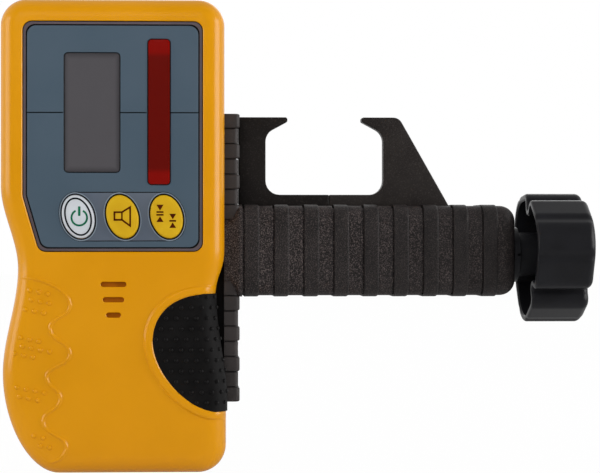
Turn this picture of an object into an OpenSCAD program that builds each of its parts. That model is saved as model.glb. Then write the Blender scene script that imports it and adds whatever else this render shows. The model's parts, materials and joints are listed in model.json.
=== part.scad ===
// Laser receiver with its rod clamp: a housing with a display, a red sensor window and three keys,
// and a ribbed clamp arm on its right side with a fixed jaw, a sliding jaw and a lead screw.
// Frame: X to the right, Y from front to back, Z up. Y = 0 is the back face of the housing and
// Z = 0 is the on-grade index line across the middle of the sensor window.

/* [Housing] */
// width of the upper housing
body_w = 75.6; // [72:0.2:84]
// height of the housing
body_h = 160; // [154:1:170]
// depth of the housing from front to back
body_d = 36; // [35:0.5:42]
// distance from the top end down to the index line
index_drop = 38.6; // [37:0.2:41]
// depth of the front shell behind the front face
front_d = 11; // [10:0.5:11]
// rounding of the front edge
edge_r = 6.5; // [5:0.25:7]
// rounding of the back edge
back_r = 4; // [2.5:0.25:4.5]
// wall thickness of both shells
wall = 2.4; // [2:0.1:2.8]
// corner radius at the top end
top_r = 9; // [8:0.5:12]
// corner radius at the bottom right
low_r = 9.5; // [8:0.5:12]
// depth of the waist on the right side
waist_right = 3.1; // [2:0.1:3.6]
// depth of the waist on the left side
waist_left = 5.8; // [3:0.2:7]
// swell of the lower right side past the upper side
bulge_right = 0.5; // [0.2:0.1:1]
// set-in of the lower left side
bulge_left = 0.7; // [0.2:0.1:2]

/* [Front panel] */
// margin between the housing side and the panel
panel_margin = 7.4; // [7:0.1:9]
// distance of the panel bottom below the index line
panel_low = 46.4; // [45:0.2:49]
// panel thickness
panel_t = 0.6; // [0.5:0.05:0.7]
// depth of the panel face below the front face
panel_sink = 0.2; // [0.1:0.05:0.3]
// corner radius of the panel
panel_r = 3.2; // [2:0.2:4]
// width of the border band round the panel
border_w = 1.2; // [0.8:0.1:1.6]
// width of the engraved lines
line_w = 0.4; // [0.3:0.05:0.6]
// depth of the engraved lines
line_d = 0.25; // [0.15:0.05:0.3]
// display window width
display_w = 18.9; // [16:0.1:20]
// display window height
display_h = 40.4; // [36:0.2:42]
// display centre, left of the centre line
display_left = 6.9; // [6.5:0.1:8]
// sensor window width
sensor_w = 7.7; // [6:0.1:8.5]
// sensor window height
sensor_h = 49.2; // [44:0.2:52]
// sensor centre, right of the centre line
sensor_right = 15.5; // [14.5:0.1:17]
// height of the sensor window above the panel
sensor_proud = 0.4; // [0.2:0.05:0.6]

/* [Keys] */
// width of an oval key
key_w = 11.1; // [9:0.1:11.6]
// height of an oval key
key_h = 15.2; // [13:0.1:15.8]
// spacing of the keys
key_pitch = 14.8; // [14.4:0.1:15.6]
// distance of the keys below the index line
key_drop = 34.9; // [34.4:0.1:36]
// middle key, right of the centre line
key_right = 3.4; // [2:0.1:5]
// lean of the ovals to the left, in degrees
key_tilt = 10; // [0:1:14]
// height of a key above the front face
key_proud = 0.8; // [0.5:0.05:1.2]
// depth of the recess round the keys
recess_d = 0.15; // [0.1:0.05:0.2]
// travel of a key
key_travel = 0.5; // [0.3:0.05:0.55]

/* [Speaker and thumb pad] */
// length of the top speaker slot
slot_l = 8.6; // [7:0.1:10]
// width of a speaker slot
slot_w = 1.7; // [1.2:0.1:2]
// spacing of the speaker slots
slot_pitch = 5.15; // [4.5:0.05:5.5]
// distance of the top slot below the index line
slot_drop = 57.6; // [56:0.2:59]
// left end of the thumb pad, right of the centre line
pad_left = 13.7; // [12.5:0.1:16]
// height of the thumb pad
pad_h = 39.7; // [37:0.1:40.5]
// height of the thumb pad above the front face
pad_proud = 0.5; // [0.3:0.05:0.8]
// depth of the pad seat in the shell
pad_sink = 1; // [0.6:0.05:1.2]
// width of the raised lip round the pad
lip_w = 2.6; // [1.5:0.1:3]
// height of the raised lip and of the grip bead
lip_h = 0.5; // [0.3:0.05:0.8]
// width of the wavy grip bead
bead_w = 1.2; // [0.8:0.1:1.6]

/* [Battery bay] */
// radius of a battery cell
cell_r = 7.25; // [7:0.05:7.25]
// length of a battery cell
cell_l = 50.5; // [49:0.1:50.5]
// length of a contact spring
spring_l = 5; // [4:0.2:5.4]
// thickness of the door
door_t = 2.2; // [1.8:0.1:2.4]
// overlap of the door on the bay edge
door_lap = 1.5; // [1:0.1:1.8]
// radius of the hinge pin
pin_r = 0.8; // [0.6:0.05:0.9]
// radius of the hinge barrels
barrel_r = 1.6; // [1.4:0.05:1.7]

/* [Clamp foot] */
// distance of the clamp mid-plane from the back face
clamp_in = 14; // [14:0.1:14.6]
// thickness of the foot between its ribs
foot_t = 4.85; // [4.4:0.05:5.4]
// depth of the foot
foot_d = 24; // [22:0.2:24.4]
// height of one foot rib
foot_rib = 5.19; // [5:0.01:5.25]
// height of the foot top above the index line
foot_rise = 0.35; // [0:0.05:1]
// height of the foot ribs
foot_step = 0.5; // [0.3:0.05:0.6]
// rounding of the foot edges
foot_r = 1.6; // [1:0.1:2]
// radius of the clamp screws
fix_r = 2; // [1.5:0.1:2]

/* [Clamp arm] */
// distance of the arm axis below the index line
arm_drop = 46.4; // [45.6:0.1:47]
// drop of the clamp screw below the middle of the arm
screw_drop = 1.5; // [0:0.1:2]
// height of the arm between its ribs
arm_h = 30.8; // [30:0.1:32]
// depth of the arm between its ribs
arm_d = 27.2; // [26.4:0.1:27.4]
// corner radius of the arm section
arm_r = 5.5; // [4:0.25:6.5]
// reach of the arm from the housing side
arm_reach = 100.4; // [99.5:0.1:104]
// spacing of the arm ribs
arm_pitch = 10.24; // [9.9:0.01:10.3]
// height of the arm ribs
arm_step = 0.4; // [0.2:0.05:0.6]
// rounding of the arm end
arm_end_r = 5.2; // [4:0.2:6]

/* [Jaws] */
// thickness of the jaw plates
jaw_t = 5; // [4:0.1:5.6]
// distance between the jaw faces when closed
jaw_gap = 41; // [40:0.2:42]
// fixed jaw face from the housing side
jaw_start = 14.7; // [14:0.1:15.5]
// reach of the hooks past the jaw faces
hook_reach = 7.6; // [6:0.1:8.5]
// height of the jaw tops above the arm axis
jaw_rise = 46.2; // [44:0.2:48]
// height of the jaw floor above the arm
floor_rise = 3.9; // [3:0.1:4.5]
// fillet at the foot of the jaws
jaw_r = 4.85; // [3:0.1:6]
// travel of the sliding jaw
jaw_travel = 15; // [10:0.5:15]

/* [Screw drive] */
// radius of the lead screw
screw_r = 4; // [3.5:0.1:4]
// length of the lead nut
nut_l = 16; // [14:0.5:16]
// running clearance of the turning pieces
run_gap = 0.06; // [0.03:0.01:0.1]
// free gap round the sliding jaw and the keys
free_gap = 0.3; // [0.2:0.05:0.35]
// flange radius of the screw bush
bush_r = 9.6; // [9.4:0.1:10.5]
// flange thickness of the screw bush
bush_t = 2; // [1.5:0.1:2.4]

/* [Knob] */
// radius of the knob over its lobes
knob_r = 24.2; // [22:0.2:26]
// radius of the knob in its notches
notch_r = 13.5; // [12.5:0.1:15]
// length of the knob
knob_l = 20; // [18:0.5:24]
// gap between the bush and the knob rim
knob_gap = 3.4; // [2:0.1:4]
// wall thickness of the knob
knob_wall = 2.2; // [1.8:0.1:2.6]

/* [Hidden] */
// cuts run this far past a face
over = 1;
// facets of an arc or a curve
arc_n = 6;
curve_n = 9;
round_n = 5;
small_n = 3;
$fn = 48;
half_w = body_w / 2;
front_y = -body_d;
part_y = front_y + front_d;
top_z = index_drop;
low_z = index_drop - body_h;
inner_y = front_y + wall;
clamp_y = -clamp_in;
seat_x = half_w;
// heights of the outline points as shares of the housing height, from the top
right_shares = [0.525, 0.634, 0.85];
left_shares = [0.393, 0.568, 0.79];
waist_share = 0.5;
side_share = 0.34;
sweep_share = 0.47;
sweep_start_share = 0.476;
trim_share = 0.015;
// middle of the thumb pad as a share of the length below the panel
pad_share = 0.45667;
flange_w = wall * 0.4;
flange_t = wall / 3;
glass_back = inner_y + flange_t;
module_t = wall * 1.42;
board_y = glass_back + module_t;
board_t = wall * 0.66;
arm_mid = -arm_drop;
axis_z = arm_mid - screw_drop;
arm_x0 = seat_x + foot_t * 0.31;
arm_x1 = seat_x + arm_reach;
arm_top = arm_mid + arm_h / 2;
foot_x1 = seat_x + foot_t;
foot_ribs = 19;
foot_h = foot_rib * foot_ribs;
bay_w = 4 * cell_r + free_gap * 2;
plate_t = spring_l / 10;
bay_l = spring_l + cell_l + plate_t;
bay_z = low_z + wall * 2.6;
bay_y = -door_t - free_gap * 5 - 2 * cell_r - free_gap;
cell_y = bay_y + free_gap + cell_r;
bay_wall = wall * 0.66;
hinge_y = -barrel_r - run_gap * 3;
hinge_z = bay_z - barrel_r * 0.75;
door_z0 = hinge_z + barrel_r * 2;
door_z1 = bay_z + bay_l + door_lap;
door_w = bay_w + 2 * door_lap;
arm_w = barrel_r * 3.6;
arm_x = door_w * 0.31;

function unit(v) = v / norm(v);
function arc(c, r, a0, a1, n) =
    [for (k = [0 : n]) c + r * [cos(a0 + (a1 - a0) * k / n), sin(a0 + (a1 - a0) * k / n)]];
function bezier(a, b, c, d, n) = [for (k = [0 : n]) let (t = k / n, s = 1 - t)
    s * s * s * a + 3 * s * s * t * b + 3 * s * t * t * c + t * t * t * d];
// curve between two points that leaves and arrives upright
function s_curve(a, b, share) =
    bezier(a, a + [0, (b[1] - a[1]) * share], b - [0, (b[1] - a[1]) * share], b, curve_n);
// curve that leaves level and arrives upright
function sweep(a, b, share) =
    bezier(a, a + [(b[0] - a[0]) * share, 0], b - [0, (b[1] - a[1]) * share], b, curve_n);
// curve that leaves upright and arrives level
function turn(a, b, share) =
    bezier(a, a + [0, (b[1] - a[1]) * share], b - [(b[0] - a[0]) * share, 0], b, curve_n);
function tail(list) = [for (k = [1 : len(list) - 1]) list[k]];
// clockwise outline moved inwards by d
function inset(p, d) = [for (k = [0 : len(p) - 1])
    let (n = len(p), t = unit(p[(k + 1) % n] - p[(k + n - 1) % n])) p[k] + d * [t[1], -t[0]]];
// open line widened to a band
function band(p, w) = let (n = len(p),
    t = [for (k = [0 : n - 1]) unit(p[min(k + 1, n - 1)] - p[max(k - 1, 0)])])
    concat([for (k = [0 : n - 1]) p[k] + w / 2 * [-t[k][1], t[k][0]]],
        [for (k = [n - 1 : -1 : 0]) p[k] - w / 2 * [-t[k][1], t[k][0]]]);
// one corner replaced by an arc of radius r
function corner(a, p, b, r) = r == 0 ? [p] :
    let (u = unit(a - p), v = unit(b - p), h = acos(u * v) / 2, c = p + unit(u + v) * r / sin(h),
        s = p + u * r / tan(h) - c, e = p + v * r / tan(h) - c,
        a0 = atan2(s[1], s[0]), d = atan2(e[1], e[0]) - a0,
        w = d > 180 ? d - 360 : d < -180 ? d + 360 : d) arc(c, r, a0, a0 + w, arc_n);
function rounded(p, r) = [for (k = [0 : len(p) - 1]) let (n = len(p))
    each corner(p[(k + n - 1) % n], p[k], p[(k + 1) % n], is_list(r) ? r[k] : r)];
function box_pts(w, h) = [[-w / 2, h / 2], [w / 2, h / 2], [w / 2, -h / 2], [-w / 2, -h / 2]];
function moved(p, d) = [for (q = p) q + d];
function height_at(share) = top_z - share * body_h;

outline = let (r0 = [half_w, height_at(right_shares[0])],
    r1 = [half_w - waist_right, height_at(right_shares[1])],
    r2 = [half_w + bulge_right, height_at(right_shares[2])],
    l0 = [-half_w, height_at(left_shares[0])],
    l1 = [-half_w + waist_left, height_at(left_shares[1])],
    l2 = [-half_w + bulge_left, height_at(left_shares[2])])
    concat(arc([half_w - top_r, top_z - top_r], top_r, 90, 0, arc_n),
        s_curve(r0, r1, waist_share), tail(s_curve(r1, r2, side_share)),
        arc([half_w + bulge_right - low_r, low_z + low_r], low_r, 0, -90, arc_n),
        sweep([-sweep_start_share * half_w, low_z], l2, sweep_share),
        tail(s_curve(l2, l1, side_share)), tail(s_curve(l1, l0, side_share)),
        arc([-half_w + top_r, top_z - top_r], top_r, 180, 90, arc_n));

panel_w = body_w - 2 * panel_margin;
panel_pts = let (h = panel_w / 2, z1 = top_z - panel_margin, slant = panel_w * 0.09)
    rounded([[-h, z1], [h, z1], [h, -panel_low], [-h + slant, -panel_low], [-h, -panel_low * 0.6]],
        [panel_r, panel_r, panel_r, panel_r, panel_r]);
key_xs = [key_right - key_pitch, key_right, key_right + key_pitch];
function oval(x, grow) = [for (k = [0 : 39]) let (a = 90 - k * 9, u = (key_w / 2 + grow) * cos(a),
    v = (key_h / 2 + grow) * sin(a))
    [x + u * cos(key_tilt) - v * sin(key_tilt), -key_drop + u * sin(key_tilt) + v * cos(key_tilt)]];
pad_mid = -panel_low + (low_z + panel_low) * pad_share;
pad_z1 = pad_mid + pad_h / 2;
pad_z0 = pad_mid - pad_h / 2;
pad_pts = let (far = half_w + bulge_right + over * 4,
    mid = [pad_left, pad_z1 - (pad_z1 - pad_z0) * 0.4],
    a = [half_w * 0.83, pad_z1], b = [half_w * 0.92, pad_z0])
    concat([[far, pad_z0], b],
        [for (k = [1 : curve_n]) turn(mid, b, side_share * 1.3)[curve_n - k]],
        [for (k = [1 : curve_n]) sweep(a, mid, side_share * 1.75)[curve_n - k]], [[far, pad_z1]]);
// grip bead: crests as shares of the half width and of the housing height
bead_shares = [[-0.80, 0.587], [-0.373, 0.645], [-0.55, 0.693], [-0.373, 0.747],
    [-0.58, 0.795], [-0.458, 0.84], [-0.61, 0.888], [-0.405, 0.943], [-0.57, 0.974]];
bead_keys = [for (s = bead_shares) [s[0] * half_w, height_at(s[1])]];
bead_line = concat(sweep(bead_keys[0], bead_keys[1], waist_share),
    [for (k = [1 : 6]) each tail(s_curve(bead_keys[k], bead_keys[k + 1], waist_share))],
    tail(turn(bead_keys[7], bead_keys[8], waist_share)));

boss_r = wall * 1.6;
case_screw_r = wall * 0.62;
case_head_r = case_screw_r * 1.9;
case_head_t = case_screw_r * 1.6;
boss_xz = [[-half_w + boss_r * 2, top_z - boss_r * 2], [half_w - boss_r * 2, top_z - boss_r * 2],
    [half_w - boss_r * 2.1, low_z + boss_r * 2.5], [-half_w * 0.63, low_z + boss_r * 3.2]];
fix_y = foot_d * 0.29;
fix_zs = [-arm_drop * 0.31, -arm_drop * 1.72];
insert_x = seat_x - waist_right - free_gap;
insert_l = fix_r * 3.5;
insert_r = fix_r * 1.4;

// flat piece in the XZ plane between two depths
module slab(p, y0, y1) {
    translate([0, y1, 0]) rotate([90, 0, 0]) linear_extrude(y1 - y0) polygon(p);
}
// flat piece in the YZ plane between two stations along X
module bar(p, x0, x1) {
    translate([x0, 0, 0]) rotate([90, 0, 90]) linear_extrude(x1 - x0) polygon(p);
}
module brick(a, b) {
    translate(a) cube(b - a);
}
module rod_x(x0, x1, y, z, r) {
    translate([x0, y, z]) rotate([0, 90, 0]) cylinder(h = x1 - x0, r = r);
}
module rod_y(y0, y1, x, z, r) {
    translate([x, y1, z]) rotate([90, 0, 0]) cylinder(h = y1 - y0, r = r);
}
module rod_z(z0, z1, x, y, r) {
    translate([x, y, z0]) cylinder(h = z1 - z0, r = r);
}
// clockwise outline carried from y0 to y1 with rounded edges of radius r0 and r1; the loft runs past
// both ends and is trimmed flat there
module pillow(p, y0, y1, r0, r1, n) {
    lower = r0 == 0 ? [[0, y0 - over]] : [for (j = [0 : n])
        [r0 * (1 - sin(90 * j / n)), y0 + r0 * (1 - trim_share - cos(90 * j / n))]];
    upper = r1 == 0 ? [[0, y1 + over]] : [for (j = [n : -1 : 0])
        [r1 * (1 - sin(90 * j / n)), y1 - r1 * (1 - trim_share - cos(90 * j / n))]];
    rings = concat(lower, upper);
    m = len(p);
    points = [for (g = rings) each [for (q = inset(p, g[0])) [q[0], g[1], q[1]]]];
    sides = [for (j = [0 : len(rings) - 2]) each [for (k = [0 : m - 1])
        let (a = j * m + k, b = j * m + (k + 1) % m, c = b + m, d = a + m) each [[a, d, c], [a, c, b]]]];
    caps = [[for (k = [0 : m - 1]) k], [for (k = [m - 1 : -1 : 0]) (len(rings) - 1) * m + k]];
    xs = [for (q = p) q[0]];
    zs = [for (q = p) q[1]];
    intersection() {
        polyhedron(points, concat(sides, caps));
        brick([min(xs) - over, y0, min(zs) - over], [max(xs) + over, y1, max(zs) + over]);
    }
}
// front of the housing, grown by g
module skin(g) {
    pillow(inset(outline, -g), front_y - g, part_y, edge_r + g, 0, round_n);
}
// seat of the clamp foot on the right side
module seat_cut() {
    brick([seat_x, clamp_y - foot_d / 2 - free_gap / 2, foot_rise - foot_h - free_gap / 2],
        [seat_x + over * 4, clamp_y + foot_d / 2 + free_gap / 2, foot_rise + free_gap / 2]);
}

// raised lip round the thumb pad and wavy grip bead, on the flat of the front face
module front_relief() {
    intersection() {
        union() {
            difference() {
                slab(inset(pad_pts, -lip_w), front_y - lip_h, front_y + wall / 4);
                slab(pad_pts, front_y - over, front_y + over);
            }
            slab(band(bead_line, bead_w), front_y - lip_h, front_y + wall / 4);
        }
        slab(inset(outline, edge_r * 0.85), front_y - over, front_y + over);
    }
}
module front_shell() {
    color("#D0900E") difference() {
        union() {
            difference() {
                skin(0);
                slab(inset(outline, wall), inner_y + wall, part_y + over);
                slab(inset(outline, wall * 1.8), inner_y, part_y + over);
                difference() {
                    slab(pad_pts, front_y - over, part_y - wall * 0.6);
                    skin(-pad_sink);
                }
            }
            front_relief();
            for (b = boss_xz) rod_y(inner_y - wall / 4, part_y, b[0], b[1], boss_r * 0.9);
        }
        slab(panel_pts, front_y - over, front_y + panel_sink + panel_t);
        slab(moved(box_pts(display_w, display_h), [-display_left, 0]), front_y - over, inner_y + over);
        slab(moved(box_pts(sensor_w, sensor_h), [sensor_right, 0]), front_y - over, inner_y + over);
        for (x = key_xs) slab(oval(x, free_gap), front_y - over, inner_y + over);
        for (k = [0 : 2]) speaker_slot(k);
        for (b = boss_xz) rod_y(inner_y + wall / 2, part_y + over, b[0], b[1], case_screw_r);
        seat_cut();
    }
}
slot_shares = [1, 0.83, 0.57];
module speaker_slot(k) {
    l = slot_l * slot_shares[k] - slot_w;
    z = -slot_drop - k * slot_pitch;
    brick([-l / 2, front_y - over, z - slot_w / 2], [l / 2, inner_y + over, z + slot_w / 2]);
    for (s = [-1, 1]) rod_y(front_y - over, inner_y + over, s * l / 2, z, slot_w / 2);
}

module shell_gasket() {
    color("#222222") difference() {
        slab(inset(outline, wall * 0.35), part_y, part_y + wall / 3);
        slab(inset(outline, wall * 0.75), part_y - over, part_y + over);
    }
}

module rear_shell() {
    color("#D0900E") difference() {
        union() {
            difference() {
                pillow(outline, part_y, 0, 0, back_r, round_n - 1);
                slab(inset(outline, wall), part_y - over, -back_r);
                slab(inset(outline, wall * 1.6), part_y - over, -wall);
            }
            brick([-bay_w / 2 - bay_wall, bay_y - bay_wall, low_z + wall / 2],
                [bay_w / 2 + bay_wall, -wall / 2, bay_z + bay_l + bay_wall]);
            brick([-door_w / 2 - bay_wall, -door_t - bay_wall, low_z + wall * 1.6],
                [door_w / 2 + bay_wall, -wall / 2, door_z1 + bay_wall]);
            for (b = boss_xz) rod_y(part_y, -wall / 2, b[0], b[1], boss_r);
            for (z = fix_zs, s = [-1, 1])
                rod_x(insert_x - insert_l - wall / 2, seat_x - wall * 0.7, clamp_y + s * fix_y, z,
                    insert_r * 1.22);
        }
        difference() {
            slab(inset(outline, wall * 0.35), part_y - over, part_y + wall / 3);
            slab(inset(outline, wall * 0.75), part_y - over * 2, part_y + over);
        }
        brick([-bay_w / 2, bay_y, bay_z], [bay_w / 2, -door_t, bay_z + bay_l]);
        brick([-bay_w / 2, bay_y, door_z0], [bay_w / 2, over, bay_z + bay_l]);
        brick([-door_w / 2 - free_gap, -door_t, door_z0 - free_gap * 2.4],
            [door_w / 2 + free_gap, over, door_z1 + free_gap]);
        for (s = [-1, 1]) brick(
            [s * arm_x - arm_w / 2 - free_gap, hinge_y - barrel_r - free_gap,
                hinge_z - barrel_r - free_gap * 2],
            [s * arm_x + arm_w / 2 + free_gap, over, door_z0]);
        rod_x(-door_w / 2, door_w / 2, hinge_y, hinge_z, pin_r);
        for (b = boss_xz) {
            rod_y(part_y - over, over, b[0], b[1], case_screw_r);
            rod_y(-case_head_t - free_gap, over, b[0], b[1], case_head_r + free_gap);
        }
        for (z = fix_zs, s = [-1, 1]) {
            rod_x(insert_x - insert_l, insert_x, clamp_y + s * fix_y, z, insert_r);
            rod_x(insert_x - over / 2, seat_x + over, clamp_y + s * fix_y, z, fix_r + free_gap);
        }
        seat_cut();
    }
}

module front_panel() {
    y = front_y + panel_sink;
    color("#4A5A68") difference() {
        slab(panel_pts, y, y + panel_t);
        slab(moved(box_pts(display_w, display_h), [-display_left, 0]), y - over, y + over);
        slab(moved(box_pts(sensor_w, sensor_h), [sensor_right, 0]), y - over, y + over);
        for (x = key_xs) slab(oval(x, free_gap), y - over, y + over);
        slab(moved(rounded(box_pts(key_pitch * 2 + key_w * 1.25, key_h * 1.045), key_h * 0.48),
            [key_right, -key_drop]), y - over, y + recess_d);
        difference() {
            slab(inset(panel_pts, border_w), y - over, y + line_d);
            slab(inset(panel_pts, border_w + line_w), y - over * 2, y + over);
        }
        brick([-panel_w / 2 + border_w, y - over, -line_w / 2],
            [panel_w / 2 - border_w, y + line_d, line_w / 2]);
    }
}
// window plate with an inner flange behind the front wall
module window(w, h, x, y) {
    slab(moved(box_pts(w, h), [x, 0]), y, inner_y);
    slab(moved(rounded(box_pts(w + 2 * flange_w, h + 2 * flange_w), flange_w / 2), [x, 0]),
        inner_y, glass_back);
}
module display_window() {
    color("#5A565A") window(display_w, display_h, -display_left, front_y + panel_sink + line_d / 2);
}
module sensor_window() {
    color("#8B1010") window(sensor_w, sensor_h, sensor_right, front_y + panel_sink - sensor_proud);
}
module display_module() {
    color("#8A9484") {
        slab(moved(box_pts(display_w + 2 * flange_w, display_h + 2 * flange_w), [-display_left, 0]),
            glass_back, glass_back + module_t * 0.4);
        slab(moved(rounded(box_pts(display_w + 3 * flange_w, display_h + 3 * flange_w), flange_w),
            [-display_left, 0]), glass_back + module_t * 0.4, board_y);
    }
}
diode_n = 8;
module sensor_board() {
    y = glass_back + module_t * 0.35;
    color("#2E6B3E") {
        slab(moved(box_pts(sensor_w, sensor_h), [sensor_right, 0]), y, y + module_t * 0.35);
        brick([sensor_right - sensor_w / 4, y + module_t * 0.35, -sensor_h / 6],
            [sensor_right + sensor_w / 4, board_y, sensor_h / 6]);
        for (k = [0 : diode_n - 1]) slab(moved(box_pts(sensor_w * 0.62, sensor_h * 0.1),
            [sensor_right, (k - (diode_n - 1) / 2) * sensor_h * 0.115]), glass_back, y);
    }
}
module main_board() {
    color("#2E6B3E") slab(moved(rounded(box_pts(panel_w * 0.92, panel_low * 1.62), panel_r),
        [0, -panel_low * 0.26]), board_y, board_y + board_t);
}
switch_h = module_t * 0.55;
module tact_switches() {
    color("#B8B8B8") for (x = key_xs) {
        slab(moved(rounded(box_pts(key_w * 0.55, key_w * 0.55), line_w), [x, -key_drop]),
            board_y - switch_h * 0.8, board_y);
        rod_y(board_y - switch_h, board_y - switch_h * 0.8, x, -key_drop, key_w * 0.16);
    }
}
module buzzer() {
    color("#333333") {
        rod_y(inner_y, inner_y + module_t * 0.3, 0, -slot_drop - slot_pitch, slot_l * 0.95);
        rod_y(inner_y + module_t * 0.3, inner_y + module_t, 0, -slot_drop - slot_pitch, slot_l * 1.1);
    }
}
module thumb_pad() {
    color("#1A1819") difference() {
        intersection() {
            skin(pad_proud);
            slab(pad_pts, front_y - over, part_y - wall * 0.6);
        }
        skin(-pad_sink);
    }
}
// key: rounded oval cap, inner flange that stops on the front wall, and a short stem
module key(x) {
    pillow(oval(x, 0), front_y - key_proud, inner_y, key_proud * 0.8, 0, small_n);
    slab(oval(x, free_gap * 2), inner_y, inner_y + flange_t);
    rod_y(inner_y + flange_t, board_y - switch_h - key_travel - free_gap / 2, x, -key_drop, key_w * 0.18);
}
module power_button() {
    color("#D8D8DE") key(key_xs[0]);
}
module sound_button() {
    color("#E8C01E") key(key_xs[1]);
}
module precision_button() {
    color("#E8C01E") key(key_xs[2]);
}

module battery_door() {
    color("#D0900E") difference() {
        union() {
            difference() {
                slab(moved(rounded(box_pts(door_w, door_z1 - door_z0), door_lap * 0.6),
                    [0, (door_z0 + door_z1) / 2]), -door_t, 0);
                slab(moved(rounded(box_pts(door_w * 0.4, door_lap * 2), door_lap * 0.6),
                    [0, door_z1 - door_lap * 2.4]), -door_t * 0.4, over);
            }
            for (s = [-1, 1]) {
                brick([s * arm_x - arm_w / 2, -door_t, hinge_z],
                    [s * arm_x + arm_w / 2, hinge_y + barrel_r - run_gap * 2, door_z0 + door_lap]);
                rod_x(s * arm_x - arm_w / 2, s * arm_x + arm_w / 2, hinge_y, hinge_z, barrel_r);
            }
        }
        rod_x(-door_w, door_w, hinge_y, hinge_z, pin_r + run_gap);
    }
}
module door_pin() {
    color("#B0B0B0") rod_x(-door_w / 2, door_w / 2, hinge_y, hinge_z, pin_r);
}
cell_x = cell_r + free_gap / 2;
nub_h = cell_l * 0.03;
module battery_cells() {
    color("#3A3A42") {
        rod_z(bay_z + spring_l, bay_z + spring_l + cell_l - nub_h, -cell_x, cell_y, cell_r);
        rod_z(bay_z + spring_l + cell_l - nub_h, bay_z + bay_l - plate_t, -cell_x, cell_y, cell_r * 0.36);
        rod_z(bay_z + plate_t + nub_h, bay_z + plate_t + cell_l, cell_x, cell_y, cell_r);
        rod_z(bay_z + plate_t, bay_z + plate_t + nub_h, cell_x, cell_y, cell_r * 0.36);
    }
}
coil_n = 5;
module contact_spring() {
    wire = spring_l / coil_n;
    rise = (spring_l - plate_t - wire * 0.95) / (coil_n - 1);
    translate([-cell_r * 0.7, -cell_r * 0.7, 0]) cube([cell_r * 1.4, cell_r * 1.4, plate_t]);
    for (k = [0 : coil_n - 1]) translate([0, 0, plate_t + wire * 0.45 + k * rise])
        rotate_extrude() translate([cell_r * (0.52 - 0.05 * k), 0]) circle(r = wire * 0.5, $fn = 16);
}
module battery_springs() {
    color("#C8C8C8") {
        translate([-cell_x, cell_y, bay_z]) contact_spring();
        translate([cell_x, cell_y, bay_z + bay_l]) mirror([0, 0, 1]) contact_spring();
    }
}
module battery_plates() {
    color("#C8C8C8") {
        brick([-cell_x - cell_r * 0.7, cell_y - cell_r * 0.7, bay_z + bay_l - plate_t],
            [-cell_x + cell_r * 0.7, cell_y + cell_r * 0.7, bay_z + bay_l]);
        brick([cell_x - cell_r * 0.7, cell_y - cell_r * 0.7, bay_z],
            [cell_x + cell_r * 0.7, cell_y + cell_r * 0.7, bay_z + plate_t]);
    }
}
module housing_screws() {
    color("#8A8A8A") for (b = boss_xz) {
        rod_y(inner_y + wall / 2, -case_head_t, b[0], b[1], case_screw_r);
        difference() {
            rod_y(-case_head_t - free_gap, -free_gap, b[0], b[1], case_head_r);
            for (a = [0, 90]) translate([b[0], -free_gap, b[1]]) rotate([0, a, 0])
                cube([case_screw_r * 2.4, case_head_t, case_screw_r * 0.4], center = true);
        }
    }
}
module clamp_inserts() {
    color("#C9A24A") for (z = fix_zs, s = [-1, 1]) difference() {
        rod_x(insert_x - insert_l, insert_x, clamp_y + s * fix_y, z, insert_r);
        rod_x(insert_x - insert_l * 0.9, insert_x + over, clamp_y + s * fix_y, z, fix_r);
    }
}
fix_head_t = foot_t * 0.45;
module clamp_screws() {
    color("#8A8A8A") for (z = fix_zs, s = [-1, 1]) {
        rod_x(insert_x - insert_l * 0.9, foot_x1 - fix_head_t, clamp_y + s * fix_y, z, fix_r);
        difference() {
            rod_x(foot_x1 - fix_head_t, foot_x1, clamp_y + s * fix_y, z, fix_r * 1.8);
            for (a = [0, 90]) translate([foot_x1, clamp_y + s * fix_y, z]) rotate([a, 0, 0])
                cube([fix_head_t, fix_r * 2.2, fix_r * 0.4], center = true);
        }
    }
}

arm_pts = rounded(moved(box_pts(arm_d, arm_h), [0, arm_mid]), arm_r);
// plain arm with both ends rounded
module arm_form() {
    translate([0, clamp_y, 0]) rotate([0, 0, -90])
        pillow(arm_pts, arm_x0, arm_x1, arm_end_r * 0.75, arm_end_r, round_n);
}
rib_x = seat_x + foot_t + foot_step + arm_pitch * 0.16;
arm_ribs = floor((arm_x1 - arm_end_r - rib_x - arm_pitch / 2) / arm_pitch) + 1;
module arm_rib(k) {
    x = rib_x + k * arm_pitch;
    bar(rounded(moved(box_pts(arm_d + 2 * arm_step, arm_h + 2 * arm_step), [clamp_y, arm_mid]),
        arm_r + arm_step), x, x + arm_pitch / 2);
}
function foot_pts(step) = let (x0 = seat_x, x1 = seat_x + foot_t + step, y0 = clamp_y - foot_d / 2,
    y1 = clamp_y + foot_d / 2)
    rounded([[x0, y0], [x1, y0], [x1, y1], [x0, y1]], [0, foot_r, foot_r, 0]);
slot_x0 = foot_x1 + foot_step + arm_pitch * 0.12;
slot_y = jaw_t / 2 + free_gap;
web_x = seat_x + jaw_start + jaw_gap * 0.54;
seam_x = web_x - free_gap / 2;
channel_x = web_x + screw_r;
channel_h = screw_r * 1.8;
plug_x = arm_x1 - arm_end_r * 1.27;
jaw_low = axis_z + channel_h + free_gap;
jaw_floor = arm_top + floor_rise;
jaw_top = arm_mid + jaw_rise;
boss_shares = [0.556, 0.768];
module drive_space(x1) {
    brick([slot_x0, clamp_y - slot_y, jaw_low - free_gap], [x1, clamp_y + slot_y, arm_top + over * 4]);
    brick([channel_x, clamp_y - channel_h, axis_z - channel_h],
        [x1, clamp_y + channel_h, axis_z + channel_h]);
}
jaw_screw_r = fix_r * 0.85;
jaw_screw_xs = [slot_x0 + jaw_screw_r * 3.2, web_x - jaw_screw_r * 4];
jaw_screw_z = (jaw_low + arm_top) / 2;
arm_back = clamp_y + arm_d / 2;
bush_screw_r = fix_r * 0.5;
bush_screw_y = channel_h + bush_screw_r * 1.15;
bush_x1 = arm_x1 + bush_t;
sleeve_r = screw_r * 1.35;

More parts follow.
